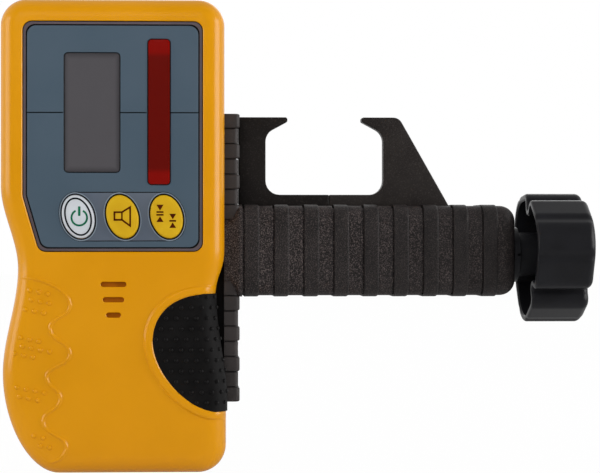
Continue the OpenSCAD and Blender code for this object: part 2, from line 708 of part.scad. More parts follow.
module clamp_body() {
    color("#35312F") difference() {
        union() {
            translate([0, 0, foot_rise - foot_h]) linear_extrude(foot_h) polygon(foot_pts(0));
            for (k = [0 : 2 : foot_ribs - 1]) translate([0, 0, foot_rise - (k + 1) * foot_rib])
                linear_extrude(foot_rib) polygon(foot_pts(foot_step));
            difference() {
                brick([seat_x - waist_right - over, clamp_y - foot_d * 0.18, height_at(boss_shares[1])],
                    [seat_x + foot_t / 2, clamp_y + foot_d * 0.42, height_at(boss_shares[0])]);
                slab(outline, clamp_y - foot_d, clamp_y + foot_d);
            }
            arm_form();
            for (k = [0 : arm_ribs - 1]) arm_rib(k);
        }
        drive_space(arm_x1 + over);
        rod_x(web_x - screw_r, channel_x + over, clamp_y, axis_z, screw_r * 0.75 + run_gap);
        for (z = fix_zs, s = [-1, 1]) {
            rod_x(seat_x - waist_right - over, foot_x1 + over, clamp_y + s * fix_y, z,
                fix_r + free_gap / 2);
            rod_x(foot_x1 - fix_head_t, foot_x1 + over, clamp_y + s * fix_y, z, fix_r * 1.8 + free_gap);
        }
        for (x = jaw_screw_xs) {
            rod_y(clamp_y, arm_back + over, x, jaw_screw_z, jaw_screw_r);
            rod_y(arm_back - jaw_screw_r * 1.4, arm_back + over * 2, x, jaw_screw_z, jaw_screw_r * 1.9);
        }
        for (s = [-1, 1]) rod_x(plug_x, arm_x1 + over, clamp_y + s * bush_screw_y, axis_z, bush_screw_r);
    }
}

tip_h = hook_reach * 0.2;
face1 = seat_x + jaw_start;
face2 = face1 + jaw_gap;
module fixed_jaw() {
    p = rounded([[foot_x1 + foot_step, jaw_top], [face1 + hook_reach, jaw_top],
        [face1 + hook_reach, jaw_top - tip_h], [face1, jaw_top - hook_reach * 0.74],
        [face1, jaw_floor], [seam_x, jaw_floor], [seam_x, jaw_low],
        [slot_x0, jaw_low], [slot_x0, arm_top + arm_step], [foot_x1 + foot_step, arm_top + arm_step]],
        [0, tip_h * 0.5, tip_h * 0.4, jaw_r, jaw_r, 0, 0, 0, 0, 0]);
    color("#2A2827") difference() {
        slab(p, clamp_y - jaw_t / 2, clamp_y + jaw_t / 2);
        for (x = jaw_screw_xs) rod_y(clamp_y - jaw_t * 0.3, clamp_y + jaw_t, x, jaw_screw_z, jaw_screw_r);
    }
}
module jaw_screws() {
    color("#8A8A8A") for (x = jaw_screw_xs) {
        rod_y(clamp_y - jaw_t * 0.3, arm_back - jaw_screw_r * 1.4, x, jaw_screw_z, jaw_screw_r);
        difference() {
            rod_y(arm_back - jaw_screw_r * 1.4, arm_back - free_gap, x, jaw_screw_z, jaw_screw_r * 1.8);
            rod_y(arm_back - jaw_screw_r, arm_back + over, x, jaw_screw_z, jaw_screw_r * 0.9, $fn = 6);
        }
    }
}
nut_x = face2 - nut_l * 0.35;
nut_half = screw_r * 1.62;
tongue_x = nut_l * 0.12;
tongue_z = axis_z + screw_r + free_gap * 3;
module sliding_jaw() {
    toe = plug_x - jaw_travel - free_gap / 2;
    p = rounded([[web_x, jaw_floor], [face2, jaw_floor], [face2, jaw_top - hook_reach * 0.74],
        [face2 - hook_reach, jaw_top - tip_h], [face2 - hook_reach, jaw_top],
        [face2 + hook_reach * 0.72, jaw_top], [toe, arm_top],
        [toe, jaw_low], [nut_x + nut_l - tongue_x, jaw_low], [nut_x + nut_l - tongue_x, tongue_z],
        [nut_x + tongue_x, tongue_z], [nut_x + tongue_x, jaw_low], [web_x, jaw_low]],
        [0, jaw_r, jaw_r, tip_h * 0.4, tip_h * 0.5, jaw_r * 0.7, 0, 0, 0, 0, 0, 0, 0]);
    color("#2A2827") slab(p, clamp_y - jaw_t / 2, clamp_y + jaw_t / 2);
}
module lead_nut() {
    color("#C9A24A") difference() {
        bar(rounded(moved(box_pts(nut_half * 2, nut_half * 2), [clamp_y, axis_z]), screw_r / 4),
            nut_x, nut_x + nut_l);
        rod_x(nut_x - over, nut_x + nut_l + over, clamp_y, axis_z, screw_r + run_gap);
        brick([nut_x + tongue_x, clamp_y - jaw_t / 2, tongue_z],
            [nut_x + nut_l - tongue_x, clamp_y + jaw_t / 2, jaw_low + over]);
    }
}
washer_t = bush_t * 0.4;
collar_x = plug_x - washer_t;
hub_x0 = bush_x1 + run_gap * 3;
knob_x0 = bush_x1 + knob_gap;
knob_x1 = knob_x0 + knob_l;
knob_end = knob_wall * 2.4;
screw_x1 = knob_x1 - knob_end;
knob_screw_r = screw_r / 2;
module lead_screw() {
    color("#9A9A9A") difference() {
        union() {
            rod_x(web_x - screw_r + free_gap, channel_x + free_gap, clamp_y, axis_z, screw_r * 0.75);
            rod_x(channel_x + free_gap, screw_x1, clamp_y, axis_z, screw_r);
            rod_x(collar_x - bush_t, collar_x, clamp_y, axis_z, sleeve_r);
        }
        rod_x(screw_x1 - screw_r * 2, screw_x1 + over, clamp_y, axis_z, knob_screw_r);
    }
}
module thrust_washer() {
    color("#D8D4C8") difference() {
        rod_x(collar_x, plug_x, clamp_y, axis_z, sleeve_r * 1.1);
        rod_x(collar_x - over, plug_x + over, clamp_y, axis_z, screw_r + run_gap);
    }
}
module end_plug() {
    color("#35312F") difference() {
        intersection() {
            arm_form();
            drive_space(arm_x1 + over);
            brick([plug_x, clamp_y - arm_d, arm_mid - arm_h],
                [arm_x1 + over, clamp_y + arm_d, arm_mid + arm_h]);
        }
        rod_x(plug_x - over, arm_x1 + over, clamp_y, axis_z, sleeve_r);
    }
}
module screw_bush() {
    color("#4A4644") difference() {
        union() {
            rod_x(plug_x, arm_x1, clamp_y, axis_z, sleeve_r);
            rod_x(arm_x1, bush_x1, clamp_y, axis_z, bush_r);
        }
        rod_x(plug_x - over, bush_x1 + over, clamp_y, axis_z, screw_r + run_gap);
        for (s = [-1, 1]) {
            rod_x(arm_x1 - over, bush_x1 + over, clamp_y + s * bush_screw_y, axis_z, bush_screw_r);
            rod_x(bush_x1 - bush_t * 0.5, bush_x1 + over, clamp_y + s * bush_screw_y, axis_z,
                bush_screw_r * 1.3);
        }
    }
}
module bush_screws() {
    color("#8A8A8A") for (s = [-1, 1]) {
        rod_x(plug_x, bush_x1 - bush_t * 0.5, clamp_y + s * bush_screw_y, axis_z, bush_screw_r);
        rod_x(bush_x1 - bush_t * 0.5, bush_x1 - run_gap, clamp_y + s * bush_screw_y, axis_z,
            bush_screw_r * 1.3);
    }
}

// knob outline: three wide lobes with a notch between each two, clockwise
lobe_angles = [10, -110, -230];
lobe_half = 47;
function polar(r, a) = r * [cos(a), sin(a)];
knob_pts = rounded([for (a = lobe_angles) each [polar(knob_r * 0.9, a + lobe_half),
    polar(knob_r * 1.165, a), polar(knob_r * 0.9, a - lobe_half), polar(notch_r, a - 60)]],
    [for (a = lobe_angles) each [knob_r * 0.17, knob_r * 0.56, knob_r * 0.17, knob_wall * 0.9]]);
module knob() {
    color("#2C2A2B") difference() {
        union() {
            difference() {
                translate([0, clamp_y, 0]) rotate([0, 0, -90])
                    pillow(moved(knob_pts, [0, axis_z]), knob_x0, knob_x1, knob_wall * 0.4,
                        knob_wall * 0.8, small_n);
                translate([0, clamp_y, 0]) rotate([0, 0, -90])
                    slab(moved(inset(knob_pts, knob_wall), [0, axis_z]), knob_x0 - over,
                        knob_x1 - knob_wall * 1.3);
            }
            rod_x(hub_x0, knob_x1 - knob_wall, clamp_y, axis_z, screw_r * 1.9);
        }
        rod_x(hub_x0 - over, screw_x1, clamp_y, axis_z, screw_r);
        rod_x(screw_x1 - over, knob_x1 + over, clamp_y, axis_z, knob_screw_r + free_gap / 2);
        rod_x(knob_x1 - knob_wall * 0.9, knob_x1 + over, clamp_y, axis_z, knob_screw_r * 2.1);
        for (a = lobe_angles, s = [-1, 1]) translate([0, clamp_y, axis_z]) rotate([-a - s * 17, 0, 0])
            rod_x(knob_x0 - over, knob_x1 + over, -knob_r * 1.08, 0, knob_r * 0.14);
    }
}
module knob_screw() {
    color("#8A8A8A") {
        rod_x(screw_x1 - screw_r * 2, knob_x1 - knob_wall * 0.9, clamp_y, axis_z, knob_screw_r);
        difference() {
            rod_x(knob_x1 - knob_wall * 0.9, knob_x1 - free_gap / 2, clamp_y, axis_z, knob_screw_r * 1.9);
            rod_x(knob_x1 - knob_wall * 0.55, knob_x1 + over, clamp_y, axis_z, knob_screw_r * 0.9, $fn = 6);
        }
    }
}

front_shell();
rear_shell();
shell_gasket();
front_panel();
display_window();
display_module();
sensor_window();
sensor_board();
main_board();
tact_switches();
buzzer();
thumb_pad();
power_button();
sound_button();
precision_button();
battery_door();
door_pin();
battery_cells();
battery_springs();
battery_plates();
housing_screws();
clamp_inserts();
clamp_screws();
clamp_body();
fixed_jaw();
jaw_screws();
sliding_jaw();
lead_nut();
lead_screw();
thrust_washer();
end_plug();
screw_bush();
bush_screws();
knob();
knob_screw();
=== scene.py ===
# %% [markdown]
# # A hand-held laser receiver on its rod clamp
# The real object is an orange moulded case with a grey panel, a red sensor window, three keys and a
# rubber thumb pad. A black clamp with a ribbed arm, two hooked jaws and a lobed knob is screwed to its side.
# The CAD model is loaded first and stays fixed. It gives the places and the sizes. A few outlines, such as those
# of the keys and of the knob's lobes, are drawn a little closer to the photograph than the CAD model has them.

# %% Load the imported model
import json
import math

import bmesh
import bpy
import numpy as np
from mathutils import Matrix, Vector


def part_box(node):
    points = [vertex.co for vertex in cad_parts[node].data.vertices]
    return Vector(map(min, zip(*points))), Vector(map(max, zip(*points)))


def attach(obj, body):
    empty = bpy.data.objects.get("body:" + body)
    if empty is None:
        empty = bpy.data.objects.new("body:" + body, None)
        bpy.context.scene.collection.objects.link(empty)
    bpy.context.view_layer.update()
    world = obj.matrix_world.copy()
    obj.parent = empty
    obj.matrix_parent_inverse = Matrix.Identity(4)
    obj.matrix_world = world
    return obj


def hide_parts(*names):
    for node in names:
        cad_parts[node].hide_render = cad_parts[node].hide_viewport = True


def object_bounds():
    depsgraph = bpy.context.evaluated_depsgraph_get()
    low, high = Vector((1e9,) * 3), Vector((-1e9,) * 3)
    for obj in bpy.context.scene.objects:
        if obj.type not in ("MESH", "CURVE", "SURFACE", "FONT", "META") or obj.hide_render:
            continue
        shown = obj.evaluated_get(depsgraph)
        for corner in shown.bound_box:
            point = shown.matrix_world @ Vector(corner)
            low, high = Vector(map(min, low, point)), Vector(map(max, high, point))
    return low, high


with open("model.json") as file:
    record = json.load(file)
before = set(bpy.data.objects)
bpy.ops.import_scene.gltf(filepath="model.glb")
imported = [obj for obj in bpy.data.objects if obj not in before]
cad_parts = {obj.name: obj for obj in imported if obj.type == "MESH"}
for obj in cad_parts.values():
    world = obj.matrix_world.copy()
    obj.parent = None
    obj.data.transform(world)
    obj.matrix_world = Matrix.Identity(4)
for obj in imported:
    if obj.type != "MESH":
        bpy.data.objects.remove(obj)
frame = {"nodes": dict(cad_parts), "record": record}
cad_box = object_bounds()
MM = 0.001
scene = bpy.context.scene

# %% [markdown]
# ## Small tools for shaders
# Colours are read off as sRGB hex values, but shaders work in linear light, so one function converts them.
# A second function adds a node, sets its values and makes its links, which keeps each finish short to read.

# %% Colour and node helpers
def linear(hex_colour):
    parts = [int(hex_colour[i:i + 2], 16) / 255 for i in (1, 3, 5)]
    return tuple(c / 12.92 if c <= 0.04045 else ((c + 0.055) / 1.055) ** 2.4 for c in parts) + (1.0,)


def add(tree, kind, feeds=None, **settings):
    node = tree.nodes.new(kind)
    for name, value in settings.items():
        setattr(node, name, value)
    for key, value in (feeds or {}).items():
        if isinstance(value, bpy.types.NodeSocket):
            tree.links.new(value, node.inputs[key])
        else:
            node.inputs[key].default_value = value
    return node


def start_finish(name, colour, roughness, ior=1.5, metallic=0.0, gloss=0.5):
    finish = bpy.data.materials.new(name)
    finish.use_nodes = True
    tree = finish.node_tree
    shader = tree.nodes["Principled BSDF"]
    for key, value in {"Base Color": linear(colour), "Roughness": roughness, "IOR": ior,
                       "Metallic": metallic, "Specular IOR Level": gloss}.items():
        shader.inputs[key].default_value = value
    place = add(tree, "ShaderNodeTexCoord").outputs["Object"]
    return finish, tree, shader, place


def per_size(size_mm):
    """Texture scale at which one feature of the pattern is about this many millimetres wide."""
    return 1 / (size_mm * MM)


# %% [markdown]
# ## Moulded plastics and rubber
# The case is ABS moulded in a spark-eroded tool: satin, with a very fine even grain and a slow drift of tone.
# A noise texture gives the grain to the bump, and a second, wide one moves the colour and the roughness a little.
# The same recipe serves the other plastics with other grain sizes, so it is one function with a few numbers.

# %% Grained plastics
ROUGH_DRIFT = 0.06


def grained(name, colours, roughness, grain_mm, depth_mm, drift_mm, speck=None, gloss=0.5, ior=1.5, fade=None):
    """Drifts between two colours and has a fine grain. speck is (colour, from, to, most) of its flecks, and
    fade is (from X, to X, share left) where grain and flecks grow weaker along the piece."""
    finish, tree, shader, place = start_finish(name, colours[0], roughness, ior=ior, gloss=gloss)
    drift = add(tree, "ShaderNodeTexNoise", {"Vector": place, "Scale": per_size(drift_mm), "Detail": 3.0})
    grain = add(tree, "ShaderNodeTexNoise", {"Vector": place, "Scale": per_size(grain_mm), "Detail": 2.0})
    tone = add(tree, "ShaderNodeValToRGB", {"Fac": drift.outputs["Fac"]})
    for stop, position, shade in zip(tone.color_ramp.elements, (0.35, 0.65), colours):
        stop.position, stop.color = position, linear(shade)
    colour, strength = tone.outputs["Color"], 1.0
    if fade:
        along = add(tree, "ShaderNodeSeparateXYZ", {"Vector": place})
        strength = add(tree, "ShaderNodeMapRange", {
            "Value": along.outputs["X"], "From Min": fade[0] * MM, "From Max": fade[1] * MM,
            "To Min": 1.0, "To Max": fade[2]}).outputs["Result"]
    if speck:
        flecks = add(tree, "ShaderNodeMapRange", {"Value": grain.outputs["Fac"], "From Min": speck[1],
                                                  "From Max": speck[2], "To Max": speck[3]})
        share = add(tree, "ShaderNodeMath", {0: flecks.outputs["Result"], 1: strength}, operation="MULTIPLY")
        mix = add(tree, "ShaderNodeMix", {0: share.outputs["Value"], 6: colour, 7: linear(speck[0])},
                  data_type="RGBA")
        colour = mix.outputs[2]
    tree.links.new(colour, shader.inputs["Base Color"])
    spread = add(tree, "ShaderNodeMapRange", {"Value": drift.outputs["Fac"], "To Min": roughness - ROUGH_DRIFT,
                                              "To Max": roughness + ROUGH_DRIFT})
    tree.links.new(spread.outputs["Result"], shader.inputs["Roughness"])
    bump = add(tree, "ShaderNodeBump", {"Height": grain.outputs["Fac"], "Distance": depth_mm * MM,
                                        "Strength": strength})
    tree.links.new(bump.outputs["Normal"], shader.inputs["Normal"])
    return finish


# ABS: satin, fine spark-eroded grain, drawn at 0.5 mm so that it shows at all
ABS_ORANGE = grained("abs_orange_satin", ("#D08C00", "#D59000"), 0.22, 0.5, 0.008, 22.0, gloss=0.27, ior=1.54)
# polycarbonate overlay film: even and a little smoother than the case
PANEL_FILM = grained("polycarbonate_film_grey", ("#445461", "#485764"), 0.42, 0.35, 0.006, 26.0, gloss=0.16,
                     ior=1.58)
# thermoplastic rubber of the thumb pad: almost no gloss. The same black also serves as painted shade in the gaps
# under the panel and beside the foot
RUBBER_AND_GAP_SHADE = grained("thermoplastic_rubber_black_and_gap_shade", ("#121111", "#161515"), 0.55, 0.4, 0.02, 6.0, gloss=0.09)
# the same rubber on the tops of its bumps, polished by the thumb, so each catches a small glint
PAD_POLISHED = grained("thermoplastic_rubber_polished", ("#121111", "#161515"), 0.42, 0.4, 0.01, 6.0, gloss=0.13)
# glass-filled nylon of the clamp: coarse moulded grain with paler flecks where fibres reach the skin. Both are
# strongest where the arm leaves the case and grow weaker towards the knob, so the arm is calmer and a little
# darker there
ARM_FADE = (44.0, 138.0, 0.35)
NYLON_GRAIN = grained("glass_filled_nylon_black", ("#1B1818", "#221F1F"), 0.58, 0.33, 0.1, 9.0,
                      ("#7A6D6A", 0.5, 0.76, 0.9), gloss=0.2, ior=1.53, fade=ARM_FADE)
# the same nylon where the tool was polished: the proud bands and the foot are calmer than the hollows
NYLON_BAND = grained("glass_filled_nylon_polished", ("#1C1A1A", "#242121"), 0.52, 0.33, 0.08, 14.0,
                     ("#665B58", 0.5, 0.8, 0.9), gloss=0.2, ior=1.53, fade=ARM_FADE)
# the foot's face is calmer still, so the gaps between its ribs read as plain dark lines. Its colour is paler than
# the arm's: painted sheen of its flat face
NYLON_FOOT_SHEEN = grained("glass_filled_nylon_foot_sheen", ("#332F2E", "#393433"), 0.5, 0.33, 0.05, 14.0,
                     ("#45403E", 0.55, 0.85, 0.7), gloss=0.25, ior=1.53)
# smooth nylon of the knob: satin with a faint bloom
KNOB_NYLON = grained("nylon_black_satin", ("#1B1B1D", "#1F1F22"), 0.34, 0.8, 0.008, 12.0, gloss=0.17, ior=1.53)
# silicone keys: soft satin
KEY_WHITE = grained("silicone_white_key", ("#BDC1C6", "#C5C9CE"), 0.5, 0.3, 0.005, 6.0, gloss=0.3, ior=1.43)
KEY_YELLOW = grained("silicone_yellow_key", ("#C59B05", "#CCA30B"), 0.5, 0.3, 0.005, 6.0, gloss=0.3, ior=1.43)
SWITCH_ABS = grained("abs_dark_grey", ("#38383A", "#404042"), 0.5, 0.4, 0.01, 8.0, gloss=0.4)
NYLON_WHITE = grained("natural_nylon", ("#D6D2C4", "#DEDACC"), 0.5, 0.4, 0.01, 8.0, gloss=0.4, ior=1.53)
BOARD_GREEN = grained("solder_mask_green", ("#1F5A32", "#28683C"), 0.35, 0.8, 0.02, 5.0, gloss=0.5)
print("plastics:", len(bpy.data.materials))

# %% [markdown]
# ## Metals, windows and inks
# The jaws are steel plates with a fine powder coat, so they are dark, slightly rough and faintly speckled.
# Screws are zinc plated; brushed streaks come from a noise stretched along one axis. The windows are tinted
# acrylic. The display sits deep behind grey; its window and cell are painted darker towards their edges, as
# painted shade of its recess. The red filter is a little brighter near its two ends.

# %% Coated, plated and tinted finishes
JAW_COAT = grained("powder_coated_steel_black", ("#191615", "#1F1B19"), 0.44, 0.34, 0.05, 20.0,
                   ("#443E3B", 0.56, 0.85, 0.8), gloss=0.2)
# the sliding jaw's coat is rubbed a little paler
JAW_RUBBED = grained("powder_coated_steel_rubbed", ("#24201F", "#2A2624"), 0.44, 0.34, 0.05, 12.0,
                     ("#4A4441", 0.56, 0.85, 0.8), gloss=0.2)
CELL_JACKET = grained("cell_jacket_film", ("#2B2D33", "#33353C"), 0.28, 1.5, 0.004, 9.0, gloss=0.6)
# dark ink of the printed signs; the same dark lies in the index grooves as painted shade
DARK_INK_AND_GROOVE_SHADE = grained("screen_ink_dark_and_groove_shade", ("#0B0F13", "#101519"), 0.6, 0.3, 0.003, 10.0, gloss=0.08)
INK_BROWN = grained("screen_ink_brown", ("#461500", "#521A02"), 0.6, 0.3, 0.003, 5.0, gloss=0.06)
INK_GREEN = grained("screen_ink_green", ("#0C5C42", "#146848"), 0.6, 0.3, 0.003, 5.0, gloss=0.08)


def plated(name, colours, roughness, streak_mm, stretch=9.0):
    """Bare or plated metal; its streaks run along X and are stretched so many times."""
    finish, tree, shader, place = start_finish(name, colours[0], roughness, metallic=1.0)
    turned = add(tree, "ShaderNodeMapping", {"Vector": place, "Scale": (1.0, stretch, stretch)})
    streak = add(tree, "ShaderNodeTexNoise", {"Vector": turned.outputs["Vector"],
                                              "Scale": per_size(streak_mm) / stretch, "Detail": 4.0})
    mix = add(tree, "ShaderNodeMix", {0: streak.outputs["Fac"], 6: linear(colours[0]), 7: linear(colours[1])},
              data_type="RGBA")
    tree.links.new(mix.outputs[2], shader.inputs["Base Color"])
    rough = add(tree, "ShaderNodeMapRange", {"Value": streak.outputs["Fac"], "To Min": roughness - 0.1,
                                             "To Max": roughness + 0.12})
    tree.links.new(rough.outputs["Result"], shader.inputs["Roughness"])
    return finish


ZINC = plated("zinc_plated_steel", ("#8E9092", "#B8BABC"), 0.34, 0.5)
BRASS = plated("turned_brass", ("#B08A3C", "#CFAA5A"), 0.3, 0.5)


def tinted(name, middle, edge, centre_x_mm, reach_x_mm, reach_z_mm):
    """Glossy tinted acrylic whose tone changes from its middle to its edges, over the given reaches."""
    finish, tree, shader, place = start_finish(name, middle, 0.16, ior=1.49, gloss=0.35)
    split = add(tree, "ShaderNodeSeparateXYZ", {"Vector": place})
    near = []
    for axis, centre, reach in (("X", centre_x_mm, reach_x_mm), ("Z", 0.0, reach_z_mm)):
        off = add(tree, "ShaderNodeMath", {0: split.outputs[axis], 1: centre * MM}, operation="SUBTRACT")
        away = add(tree, "ShaderNodeMath", {0: off.outputs["Value"]}, operation="ABSOLUTE")
        near.append(add(tree, "ShaderNodeMapRange", {
            "Value": away.outputs["Value"], "From Min": reach[0] * MM, "From Max": reach[1] * MM},
            interpolation_type="SMOOTHSTEP").outputs["Result"])
    near_edge = add(tree, "ShaderNodeMath", {0: near[0], 1: near[1]}, operation="MAXIMUM")
    cloud = add(tree, "ShaderNodeTexNoise", {"Vector": place, "Scale": per_size(9.0), "Detail": 2.0})
    drift = add(tree, "ShaderNodeMapRange", {"Value": cloud.outputs["Fac"], "To Min": -0.12, "To Max": 0.12})
    share = add(tree, "ShaderNodeMath", {0: near_edge.outputs["Value"], 1: drift.outputs["Result"]},
                operation="ADD", use_clamp=True)
    mix = add(tree, "ShaderNodeMix", {0: share.outputs["Value"], 6: linear(middle), 7: linear(edge)},
              data_type="RGBA")
    tree.links.new(mix.outputs[2], shader.inputs["Base Color"])
    return finish


RED_ACRYLIC = tinted("acrylic_red_filter", "#5E0B05", "#7A0904", 15.5, (6.0, 9.0), (18.4, 20.6))
# the display's window and cell grow darker towards their edges: painted shade of the recess they sit in
GREY_ACRYLIC_EDGE_SHADE = tinted("acrylic_grey_window_edge_shade", "#4E4C4F", "#3A383B", -6.9, (7.4, 9.6), (17.6, 20.4))
DISPLAY_CELL_EDGE_SHADE = tinted("liquid_crystal_cell_edge_shade", "#7D847A", "#70776E", -6.9, (7.0, 9.6), (10.0, 20.0))

SLOT_FINISH = {
    "orange_shell": ABS_ORANGE, "black_rubber": RUBBER_AND_GAP_SHADE, "grey_panel": PANEL_FILM,
    "display_glass": GREY_ACRYLIC_EDGE_SHADE, "display_cell": DISPLAY_CELL_EDGE_SHADE, "red_filter": RED_ACRYLIC,
    "green_board": BOARD_GREEN, "switch_plastic": SWITCH_ABS, "white_key": KEY_WHITE, "yellow_key": KEY_YELLOW,
    "steel": ZINC, "cell_jacket": CELL_JACKET, "brass": BRASS, "textured_black": NYLON_GRAIN,
    "jaw_metal": JAW_COAT, "white_nylon": NYLON_WHITE, "knob_black": KNOB_NYLON}
node_slot = {s["node"]: s["material_slot"] for s in frame["record"]["subparts"]}
for name, node in frame["nodes"].items():
    node.data.materials.clear()
    node.data.materials.append(KNOB_NYLON if name == "screw_bush" else SLOT_FINISH[node_slot[name]])
print("finishes:", len(bpy.data.materials))

# %% [markdown]
# ## Drawing outlines
# Most pieces are an outline carried along a line with its edges rounded. Outlines are lists of points in
# millimetres, drawn with arcs and Bezier curves as on the real moulding, but far finer than in the CAD model.
# They run clockwise, and `grown` moves one outwards, so rings of one outline can be joined face by face.

# %% Outline helpers
def arc(centre, r, a0, a1, n=12):
    a = np.radians(np.linspace(a0, a1, n + 1))
    return np.column_stack([centre[0] + r * np.cos(a), centre[1] + r * np.sin(a)])


def bezier(a, b, c, d, n=26):
    t = np.linspace(0, 1, n + 1)[:, None]
    a, b, c, d = (np.array(p, float) for p in (a, b, c, d))
    return (1 - t) ** 3 * a + 3 * (1 - t) ** 2 * t * b + 3 * (1 - t) * t ** 2 * c + t ** 3 * d


def upright(a, b, share):
    """Curve that leaves and arrives upright."""
    lift = np.array([0, (b[1] - a[1]) * share])
    return bezier(a, a + lift, b - lift, b)


def level_upright(a, b, share):
    """Curve that leaves level and arrives upright."""
    return bezier(a, a + np.array([(b[0] - a[0]) * share, 0]), b - np.array([0, (b[1] - a[1]) * share]), b)


def upright_level(a, b, share):
    """Curve that leaves upright and arrives level."""
    return bezier(a, a + np.array([0, (b[1] - a[1]) * share]), b - np.array([(b[0] - a[0]) * share, 0]), b)


def rounded(corners, radii, n=8):
    """Polygon with each corner replaced by an arc."""
    corners = [np.array(c, float) for c in corners]
    radii = radii if isinstance(radii, (list, tuple)) else [radii] * len(corners)
    out = []
    for k, p in enumerate(corners):
        r = radii[k]
        if r == 0:
            out.append(p[None])
            continue
        u = corners[k - 1] - p
        v = corners[(k + 1) % len(corners)] - p
        u, v = u / np.linalg.norm(u), v / np.linalg.norm(v)
        half = math.acos(np.clip(u @ v, -1, 1)) / 2
        c = p + (u + v) / np.linalg.norm(u + v) * r / math.sin(half)
        s, e = p + u * r / math.tan(half) - c, p + v * r / math.tan(half) - c
        a0 = math.degrees(math.atan2(s[1], s[0]))
        turn = (math.degrees(math.atan2(e[1], e[0])) - a0 + 180) % 360 - 180
        out.append(arc(c, r, a0, a0 + turn, n))
    return np.vstack(out)


def oblong(w, h, r, centre=(0, 0), n=8):
    x, z = centre
    return rounded([(x - w / 2, z + h / 2), (x + w / 2, z + h / 2), (x + w / 2, z - h / 2),
                    (x - w / 2, z - h / 2)], r, n)


def clean(p, least=0.02):
    """Outline without points that repeat the one before."""
    p = np.asarray(p, float)
    return p[np.linalg.norm(p - np.roll(p, 1, 0), axis=1) > least]


def grown(p, d):
    """Clockwise outline moved outwards by d."""
    ahead = np.roll(p, -1, 0) - p
    ahead = np.column_stack([-ahead[:, 1], ahead[:, 0]]) / np.linalg.norm(ahead, axis=1)[:, None]
    behind = np.roll(ahead, 1, 0)
    n = ahead + behind
    n = n / np.linalg.norm(n, axis=1)[:, None]
    return p + n * d / np.clip((n * ahead).sum(1), 0.5, 1)[:, None]


def quarter(r, steps):
    """Inset and depth of each ring round a quarter-circle edge of radius r, from the wall to the face."""
    a = np.radians(np.linspace(0, 90, steps + 1))
    return [(r - r * math.cos(t), r * (1 - math.sin(t))) for t in a]


# %% [markdown]
# ## From rings to meshes
# `loft` joins rings into a closed mesh and turns its faces outwards. `cut` takes one closed mesh out of another
# with an exact Boolean, and the result is kept as a plain mesh. `finish_piece` shades it smooth but keeps
# edges sharper than 30 degrees crisp, gives it a finish, and ties it to the body that carries it.

# %% Mesh helpers
def front_ring(p, y):
    return np.column_stack([p[:, 0], np.full(len(p), y), p[:, 1]])


def side_ring(p, x, centre):
    """Ring across the arm: the outline's first axis points to the viewer."""
    return np.column_stack([np.full(len(p), x), centre[0] - p[:, 0], centre[1] + p[:, 1]])


def top_ring(p, z):
    return np.column_stack([p[:, 0], p[:, 1], np.full(len(p), z)])


def link(name, mesh):
    piece = bpy.data.objects.new(name, mesh)
    scene.collection.objects.link(piece)
    return piece


def mesh_of(name, points, faces, outward=True):
    mesh = bpy.data.meshes.new(name)
    mesh.from_pydata([tuple(p) for p in np.asarray(points, float) * MM], [], [list(map(int, f)) for f in faces])
    if outward:
        work = bmesh.new()
        work.from_mesh(mesh)
        bmesh.ops.recalc_face_normals(work, faces=work.faces)
        work.to_mesh(mesh)
        work.free()
    return mesh


def loft(name, rings):
    m = len(rings[0])
    points = np.vstack(rings)
    faces = [[j * m + k, j * m + (k + 1) % m, (j + 1) * m + (k + 1) % m, (j + 1) * m + k]
             for j in range(len(rings) - 1) for k in range(m)]
    faces += [list(range(m))[::-1], [(len(rings) - 1) * m + k for k in range(m)]]
    return link(name, mesh_of(name, points, faces))


def prism(name, p, y0, y1):
    return loft(name, [front_ring(p, y0), front_ring(p, y1)])


def block(name, low, high):
    return prism(name, oblong(high[0] - low[0], high[2] - low[2], 0,
                              ((low[0] + high[0]) / 2, (low[2] + high[2]) / 2)), low[1], high[1])


def rod(name, axis, start, end, centre, r, n=48):
    p = arc((0, 0), r, 0, -360, n)[:-1]
    if axis == "x":
        return loft(name, [side_ring(p, x, centre) for x in (start, end)])
    return loft(name, [front_ring(p + np.array(centre), y) for y in (start, end)])


def settle(piece):
    """Keeps what the modifiers make as a plain mesh."""
    bpy.context.view_layer.update()
    seen = piece.evaluated_get(bpy.context.evaluated_depsgraph_get())
    mesh = bpy.data.meshes.new_from_object(seen)
    piece.modifiers.clear()
    old, piece.data = piece.data, mesh
    bpy.data.meshes.remove(old)
    mesh.name = piece.name
    return piece


def cut(piece, *tools, operation="DIFFERENCE"):
    for tool in tools:
        change = piece.modifiers.new("cut", "BOOLEAN")
        change.operation, change.solver, change.object = operation, "EXACT", tool
        settle(piece)
        mesh = tool.data
        bpy.data.objects.remove(tool)
        bpy.data.meshes.remove(mesh)


def joined(name, *pieces):
    work = bmesh.new()
    for piece in pieces:
        work.from_mesh(piece.data)
        mesh = piece.data
        bpy.data.objects.remove(piece)
        bpy.data.meshes.remove(mesh)
    mesh = bpy.data.meshes.new(name)
    work.to_mesh(mesh)
    work.free()
    return link(name, mesh)


SHARP_FROM = math.radians(30)


def finish_piece(piece, finish, body, slot, *nodes):
    piece.data.materials.clear()
    piece.data.materials.append(finish)
    for face in piece.data.polygons:
        face.material_index = 0
    piece.data.shade_smooth()
    piece.data.set_sharp_from_angle(angle=SHARP_FROM)
    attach(piece, body)
    if nodes:
        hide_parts(*nodes)
    print(f"{piece.name}: {len(piece.data.polygons)} faces")


# %% [markdown]
# ## The case outline
# Seen from the front the case is a tall block with a waist for the hand on both sides and a long slanted corner
# at the lower left. Most numbers are the CAD model's own, in millimetres from the index line. A few, such as the
# sides of the panel, are set a little closer to the photograph.

# %% Case outline and its face
HALF_W, TOP, LOW, HEIGHT = 37.8, 38.6, -121.4, 160.0
FRONT, PARTING, EDGE_R, BACK_R, WALL = -36.0, -25.0, 6.5, 4.0, 2.4
TOP_R, LOW_R = 9.0, 9.5


def at_height(share):
    return TOP - share * HEIGHT


